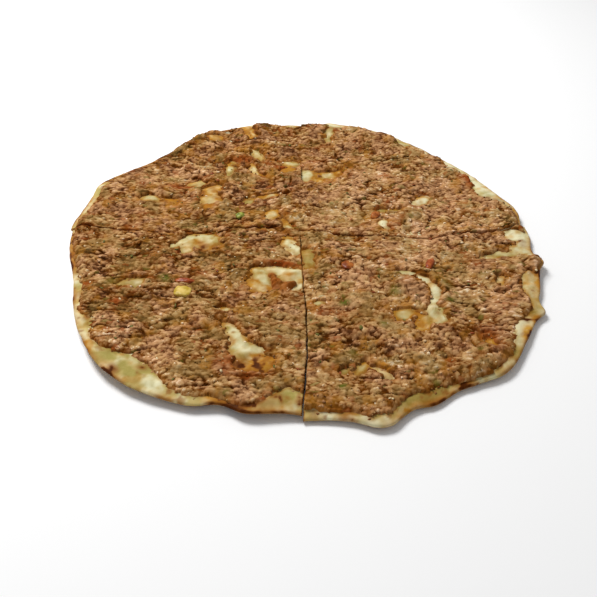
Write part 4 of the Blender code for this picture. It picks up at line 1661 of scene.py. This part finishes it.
FRONT_LEFT = Quarter(
    side=Side.front_left,
    outline=((196, 13, -7.4), (232, 14, 7.2), (254, 4, -4.5), (268, 7, -4.8)),
    bare_rim=(
        (188, 8, 0.8), (203, 5, 3), (214, 3.5, 5.5), (233, 9, 17), (250, 3, 2.5), (268, 5.5, 14),
    ),
    curl=((228, 20, 4.5), (262, 12, 3)),
    mounds=(
        (-46, -20, 12, 1), (-96, -82, 11, 1), (-12, -72, 10, 1), (-16.8, -39.5, 3, 3),
        (-14.4, -45, 3, 2.6), (-8, -48, 3.2, 2.8), (-3.8, -46, 2.6, 2.4),
    ),
    patches=each(
        Patch,
        (-73, -5, 9.5, 5.5, 65, 3, PLAIN), (-63, -1, 12, 4.2, 8, 2.6, LIME),
        (-62, -8, 8.5, 7, 0, 3, YELLOW), (-54.5, -4, 7, 3, -70, 2, FILM),
        (-81.5, -10.5, 5, 2.6, 20, 2, LIME), (-73, -15, 4.5, 3.4, 0, 2, PLAIN),
        (-5.5, -7.5, 10.5, 3.9, -62, 2.4, CREAM), (-23, -37.5, 9.5, 6.6, -40, 2.4, LIME),
        (-12, -33.5, 13, 4.2, -5, 2.2, CREAM), (-3.5, -38, 8.5, 6.6, -10, 2.4, YELLOW),
        (-1.5, -46, 5.5, 3.8, 50, 2, CREAM), (-25, -47, 7.5, 3.6, -15, 1.5, GOLD),
        (-100.5, -47, 8.5, 4.4, 10, 2.2, FILM), (-44.5, -68.5, 4.2, 2.6, 0, 1.6, YELLOW),
        (-36.5, -90, 9.5, 3.8, -58, 2.4, CREAM), (-32.5, -97.5, 5.5, 4.6, -65, 2.4, CREAM),
        (-31.5, -102.5, 7.5, 6, 80, 2.4, LIME), (-25.5, -103, 6.5, 3.2, 5, 2, CREAM),
        (-25, -113.5, 11, 6.8, -10, 1.7, AMBER), (-17, -112, 4, 4, 0, 1.6, GOLD),
    ),
    islands=each(
        Patch,
        (-15.5, -42, 7.5, 3, -70, 0, PLAIN), (-7, -48, 6, 2.6, 35, 0, PLAIN),
    ),
    spots={
        Stain.TOAST: each(
            Spot,
            (-62, -11.5, 3.5, 5, 0, 0.9), (-64, -6.5, 2.8, 2.2, 0, 0.7), (-56, -12, 3, 3, 0, 0.4),
            (-7, -36.5, 2.8, 1.8, 0, 0.4), (-37, -90, 1.1, 1.1, 0, 0.8),
            (-23, -114.5, 1.3, 3.6, 10, 1.3), (-28, -120, 8, 3.5, 0, 0.5),
            (-33.5, -115, 4.5, 6, 0, 0.75), (-133, -85, 7, 2, -60, 0.8), (-83.5, -117, 3.2, 2.4, 0, 0.9),
            (-101, -117, 7, 2, -42, 0.3), (-24, -142, 16, 4, 4, 0.65), (-13, -138, 4, 2, 30, 0.45),
            (-9.2, -139.5, 1.3, 3.4, 10, 0.9), (-18.5, -144, 3.4, 2.4, 0, 0.5),
            # The spot at (0.5, -140) is a painted shadow in the gap where the cut meets the front rim.
            (0.5, -140, 2.6, 3, 0, 0.9),
        ),
        Stain.OIL: each(
            Spot,
            (-66, -6, 5, 5, 0, 0.5), (-74, -11, 4, 3, 0, 0.4), (-56, -12, 4, 4, 0, 1),
            (-7, -36.5, 3.6, 2.4, 0, 0.8), (-45, -137, 8, 3, -10, 0.6),
        ),
        Stain.OLIVE: each(
            Spot,
            (-84, -12, 3, 2.4, 0, 0.5), (-41, -86, 2.2, 1.6, 0, 0.9), (-17, -117, 4, 4, 0, 0.5),
            (-151, -30, 5, 30, 0, 0.45), (-30, -109, 4, 3, 0, 0.5), (-84, -124, 14, 7, -35, 0.6),
            (-106, -110, 14, 9, -50, 0.3), (-7, -135.5, 4.5, 2.8, 0, 0.7),
        ),
        Stain.PALE: each(
            Spot,
            (-97, -46.5, 3.5, 2.4, 10, 0.7), (-17, -114, 3, 5, 0, 0.5), (-26, -108, 3, 4, 20, 0.3),
            (-149, -24, 5, 20, 0, 0.7), (-79, -47, 2.5, 1.6, -40, 0.8), (-95, -108, 32, 11, -42, 0.5),
            (-60, -133, 12, 4, -25, 0.3), (-7, -144, 7, 2.6, 0, 0.7), (-124, -88, 8, 4, -60, 0.4),
        ),
        Stain.RED: each(
            Spot,
            (-76, -18, 4, 2.4, 0, 0.8), (-15, -43, 8, 4.5, -70, 0.55), (-7, -49, 7, 4, 35, 0.5),
            (-11, -27, 13, 2.2, -2, 1), (-68, 9, 12, 3, 0, 0.6), (-37, -114, 6, 7, 0, 0.6),
            (-27, -122, 10, 4, 0, 0.5), (-10, -97, 5, 4, 0, 0.4), (-106.5, -65.5, 4, 3, 20, 1),
            (-94.5, -73.5, 3.4, 1.8, 10, 0.6), (-127.5, -49.5, 3.6, 3.2, 0, 0.9),
            (-60, -37, 4, 3, 40, 0.7),
        ),
        Stain.HERB: each(Spot, (-81, -45, 4.5, 3.2, -40, 0.9), (-113, -47, 5, 4, 0, 0.5)),
        Stain.OCHRE: each(
            Spot,
            (-15, -43, 8, 4.5, -70, 0.5), (-7, -49, 7, 4, 35, 0.6), (-30, -44, 4, 6, 0, 0.8),
            (-12, -110, 4, 6, 0, 0.7),
        ),
        Stain.CHAR: each(Spot, (-90, -60, 9, 5, 25, 0.25)),
    },
)

FRONT_RIGHT = Quarter(
    side=Side.front_right,
    outline=(
        (273, 5, -2), (286, 5, 8.5), (297, 4, 3.5), (315, 9, 9.2), (331, 9, 3.5), (334.8, 1.9, 3.8),
        (352, 2, 3.6), (357, 4, -3),
    ),
    bare_rim=(
        (272, 4, 2), (284, 8, 3), (295, 7, 5.5), (316, 5, 3), (327, 5, 7.5), (334.8, 2.4, 4.5),
        (341, 4, 9), (358, 4, 8),
    ),
    curl=((285, 12, 1.5), (320, 14, 2), (350, 12, 3)),
    mounds=((70, -46, 9, 1.8), (146, -23, 5.5, 1.6), (106, -62, 12, 1), (36, -86, 12, 1)),
    patches=each(
        Patch,
        (5, -21, 9.5, 4, 88, 1.6, OLIVE), (66, -35, 8, 2.9, -15, 2, LIME),
        (74.5, -41, 8, 3, -42, 2.2, CREAM), (80.8, -50, 6.5, 3.4, -75, 2.4, CREAM),
        (78.5, -59, 6.5, 2.5, 80, 2.2, CREAM), (75.5, -67, 4.5, 2.4, 50, 2, PEACH),
        (60, -72.5, 7.5, 3.8, 12, 2, YELLOW), (70.5, -79.5, 7.5, 5.4, 60, 2, GOLD),
        (79.5, -74, 8, 5.2, 62, 2.2, LIME), (24.5, -117.5, 4, 2, 10, 1.6, FILM),
        (34, -114.5, 5.4, 2.8, 50, 2, LIME), (42.5, -117.5, 6, 2.3, -42, 2, PEACH),
        (10.5, -64, 4.2, 2.6, 10, 1.4, LIME), (105, -94, 3.6, 3, 0, 1.2, GOLD),
        (140, -42, 9, 5.5, 80, 0, YELLOW), (141, -10, 9, 4.6, 10, 0, LIME),
        (131, -13, 8, 3.2, 0, 0, LIME), (146, -15, 6, 3.8, -25, 0, PEACH),
        (119, -17, 6, 2.4, 10, 0.5, YELLOW), (122.3, -39.5, 4.4, 2.9, 80, 1.4, PEACH),
        (142, 6, 9, 7.5, 0, 0, CREAM),
    ),
    spots={
        Stain.TOAST: each(
            Spot,
            (66, -75, 5, 1.8, 65, 0.8), (80, -71, 1.6, 1.6, 0, 0.7), (8, -147, 3, 3, 0, 0.45),
            # The thin spot at (130.5, -75) is a painted shadow under the rim's flap, not toast.
            (24, -148, 4, 3, 0, 0.6), (36, -150, 3, 3, 0, 0.5), (130.5, -75, 7, 1.1, 8, 1),
            (143.5, -69, 3, 2.4, 0, 0.5), (64, -141, 22, 3.2, 30, 0.6), (146, -62, 3.5, 16, -20, 0.5),
        ),
        Stain.OIL: each(
            Spot,
            (66, -75, 6, 2.4, 65, 1), (69, -81, 4, 4, 0, 0.6), (134, -66, 5, 9, -25, 0.7),
            (129, -84, 4, 7, -25, 0.8), (30, -146, 10, 2, 0, 0.6), (60, -140, 18, 5, 27, 0.5),
            (136, -74, 3, 4, 0, 0.9),
        ),
        Stain.OLIVE: each(
            Spot,
            (74, -78, 1.6, 3, 0, 0.8), (100, -125, 40, 6, 40, 0.5), (58, -136, 26, 5, 24, 0.7),
        ),
        Stain.PALE: each(
            Spot,
            (100, -46, 8, 6, 0, 0.5), (50, -100, 6, 3, 0, 0.6), (52, -112, 5, 4, 0, 0.8),
            (40, -12, 8, 5, 0, 0.4), (55, -30, 6, 4, 0, 0.6), (81.5, -110.5, 2.4, 1.6, 0, 0.7),
            (126, -34.5, 2.4, 1.8, 0, 0.8), (20, -150, 10, 4, 0, 0.35), (14, -148, 3, 3, 0, 0.4),
            (80, -128.5, 3, 1.8, 20, 0.6), (125.5, -79.5, 4, 3, 0, 0.7), (94, -123, 9, 5, 40, 0.7),
            (145, -30, 6, 20, 0, 0.4), (126, -80, 8, 16, -30, 0.45),
        ),
        Stain.RED: each(
            Spot,
            (66, -43, 6, 4, 0, 0.6), (20, -73, 12, 3.5, -10, 0.5), (106, -90, 7, 10, 0, 0.6),
            (81.5, -110.5, 3.4, 2.4, 0, 0.8),
        ),
        Stain.HERB: each(
            Spot,
            (57, -53, 3.5, 4.5, 0, 0.7), (87, -45, 3, 7, 40, 0.5), (113, -34.5, 4, 2.4, 0, 0.5),
            (26, -65.5, 3.6, 2.2, 10, 1), (88.5, -59.5, 3, 1.8, 10, 0.9),
            (47.5, -83.5, 2.4, 2.2, 20, 0.7), (28.5, -104.5, 3.2, 3.2, 20, 0.6),
            (22, -132, 3.2, 3, 20, 0.6), (72, -126, 2.4, 2.2, 20, 0.7),
        ),
        Stain.OCHRE: each(
            Spot,
            (73, -45, 5, 3.4, -30, 1), (84, -40, 4, 6, 40, 0.7), (52, -68, 9, 4, 0, 0.5),
            (46, -114, 6, 2, -40, 0.9), (8, -142, 9, 4, 0, 0.55), (105, -94, 4, 3.5, 0, 0.9),
        ),
    },
)

QUARTERS = (BACK_RIGHT, BACK_LEFT, FRONT_LEFT, FRONT_RIGHT)

# Diced pepper: waxy skin with broad glints over paler flesh. Tomato: wetter, darker and softer.
YELLOW_PEPPER = BitFinish("yellow_pepper_diced", "#b3962c", "#d9bb62", 0.4, grain_mm=4.0)
RED_PEPPER = BitFinish("red_pepper_diced", "#7e2e10", "#ab5726", 0.33, grain_mm=3.5)
GREEN_PEPPER = BitFinish("green_pepper_diced", "#5d6420", "#a2a748", 0.42, grain_mm=2.5)
TOMATO = BitFinish("tomato_flesh_diced", "#76330f", "#ab6226", 0.36, grain_mm=3.0)

# Chopped parsley: dark and nearly matt once baked. Onion and fat: pale and glossy. Red bits: dull.
PARSLEY = BitFinish("parsley_chopped", "#4c4a18", "#6f6a2c", 0.6, grain_mm=1.0)
ONION = BitFinish("onion_and_fat_cooked", "#c4a878", "#e6d3a8", 0.4, grain_mm=1.0)
RED_BITS = BitFinish("red_pepper_chopped", "#7d3412", "#9c5026", 0.5, grain_mm=1.0)

# Each cut's slot, length, width, height, turn in degrees, squareness, hollow and seed.
CUTS = (
    (YELLOW_PEPPER, CutVegetable("pepper_yellow", "yellow_pepper", 10.2, 8.4, 3.2, -8, 0.5, 0.5, 1)),
    (RED_PEPPER, CutVegetable("pepper_red_strip", "red_pepper", 12, 3.6, 2.4, -4, 0.7, 0.6, 2, sunk=0.2)),
    (RED_PEPPER, CutVegetable("pepper_red", "red_pepper", 11.5, 4.8, 3.0, 68, 0.9, 0.3, 3, sunk=-0.5)),
    (TOMATO, CutVegetable("tomato_front", "tomato", 9, 8, 3.0, 15, 0.65, 0.3, 4)),
    (TOMATO, CutVegetable("tomato_back", "tomato", 8, 6, 3.0, 70, 0.7, 0.5, 5)),
    (GREEN_PEPPER, CutVegetable("pepper_green", "green_pepper", 6.5, 5, 2.6, 30, 0.8, 0.4, 6)),
)

# Each kind's slot, count, least and most length, height as a share of half the length, and seed.
LOOSE = Scatter(
    "loose_mince", "spiced_meat", 5200, (1.0, 2.5), (0.35, 0.6), 7,
    width_share=(0.5, 0.9), lean=0.35, shows=0.2, margin=0.3,
)
STRAYS = Scatter(
    "stray_crumbs", "spiced_meat", 110, (0.9, 2.2), (0.4, 0.7), 11,
    width_share=(0.6, 0.9), lean=0.2, shows=0.5, margin=-2.5, farthest=0.0, cuts=3, tries=60, lighter=0.3,
)
HERBS = Scatter("parsley_flecks", "green_pepper", 80, (1.4, 3.4), (0.08, 0.16), 8, shows=0.8, bend=0.5)
REDS = Scatter("red_flecks", "red_pepper", 50, (1.4, 3.2), (0.2, 0.4), 9, lean=0.3, bend=0.3)
PALES = Scatter("onion_bits", "spiced_meat", 90, (1.0, 2.4), (0.25, 0.5), 10)


@dataclass(frozen=True)
class Studio:
    """The pale floor, the soft light and the camera."""

    floor_side: float = 6.0
    floor_colour: str = "#fbfbfb"
    floor_rough: float = 0.9
    sky_colour: str = "#ffffff"
    sky_strength: float = 0.36
    key_power: float = 11.4
    key_side: float = 0.4
    key_place: tuple[float, float, float] = (-0.42, 0.42, 0.88)
    lens: float = 45.83
    camera_place: tuple[float, float, float] = (-0.00077, -0.399, 0.2973)
    camera_lean: float = 49.34
    camera_roll: float = 0.625

    def floor(self) -> None:
        """A square floor through the underside's height, matt as paper."""
        half = self.floor_side / 2
        mesh = bpy.data.meshes.new("floor")
        points = [(-half, -half, 0), (half, -half, 0), (half, half, 0), (-half, half, 0)]
        mesh.from_pydata(points, [], [(0, 1, 2, 3)])
        material, tree = new_material("floor_pale_paper")
        inputs = {"Base Color": self.floor_colour, "Roughness": self.floor_rough}
        shader = add_node(tree, "ShaderNodeBsdfPrincipled", {}, inputs)
        add_node(tree, "ShaderNodeOutputMaterial", {}, {0: shader.outputs[0]})
        mesh.materials.append(material)
        linked_object("floor", mesh)

    def lights(self) -> None:
        """A white sky and one large soft box above and behind, which faces the origin."""
        world = bpy.data.worlds.new("studio")
        world.use_nodes = True
        tree = world.node_tree
        tree.nodes.clear()
        sky = add_node(tree, "ShaderNodeBackground", {}, {0: self.sky_colour, 1: self.sky_strength})
        add_node(tree, "ShaderNodeOutputWorld", {}, {0: sky.outputs[0]})
        bpy.context.scene.world = world
        lamp = bpy.data.lights.new("key", "AREA")
        lamp.size = self.key_side
        lamp.energy = self.key_power
        key = linked_object("key", lamp)
        key.location = self.key_place
        towards = -key.location
        key.rotation_euler = towards.to_track_quat("-Z", "Y").to_euler()

    def camera(self) -> None:
        """The camera, leaned down from the upright and rolled a little."""
        data = bpy.data.cameras.new("camera")
        data.lens = self.lens
        made = linked_object("camera", data)
        lean = Matrix.Rotation(math.radians(self.camera_lean), 4, "X")
        roll = Matrix.Rotation(math.radians(self.camera_roll), 4, "Z")
        made.matrix_world = Matrix.Translation(self.camera_place) @ lean @ roll
        bpy.context.scene.camera = made

    def build(self) -> None:
        """Builds all of it, with colours shown as they are."""
        bpy.context.scene.view_settings.view_transform = "Standard"
        self.floor()
        self.lights()
        self.camera()


def report(piece: Any) -> None:
    """Reports a finished piece with its number of faces."""
    logging.info("%s: %d faces", piece.name, len(piece.data.polygons))


def main() -> None:
    """Builds the studio, the bread, the meat and the bits."""
    logging.basicConfig(level=logging.INFO, format="%(message)s")
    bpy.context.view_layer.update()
    Studio().build()
    crust = CrustFinish().material()
    mince = MinceFinish().material()
    for quarter in QUARTERS:
        report(BreadSheet(quarter).build(crust))
        report(MeatSheet(quarter).build(mince))
    for finish, cut in CUTS:
        report(cut.build(finish.material()))
    report(LOOSE.build(mince))
    report(STRAYS.build(mince))
    for finish, flecks in ((PARSLEY, HERBS), (RED_BITS, REDS), (ONION, PALES)):
        report(flecks.build(finish.material()))


if __name__ == "__main__":
    main()
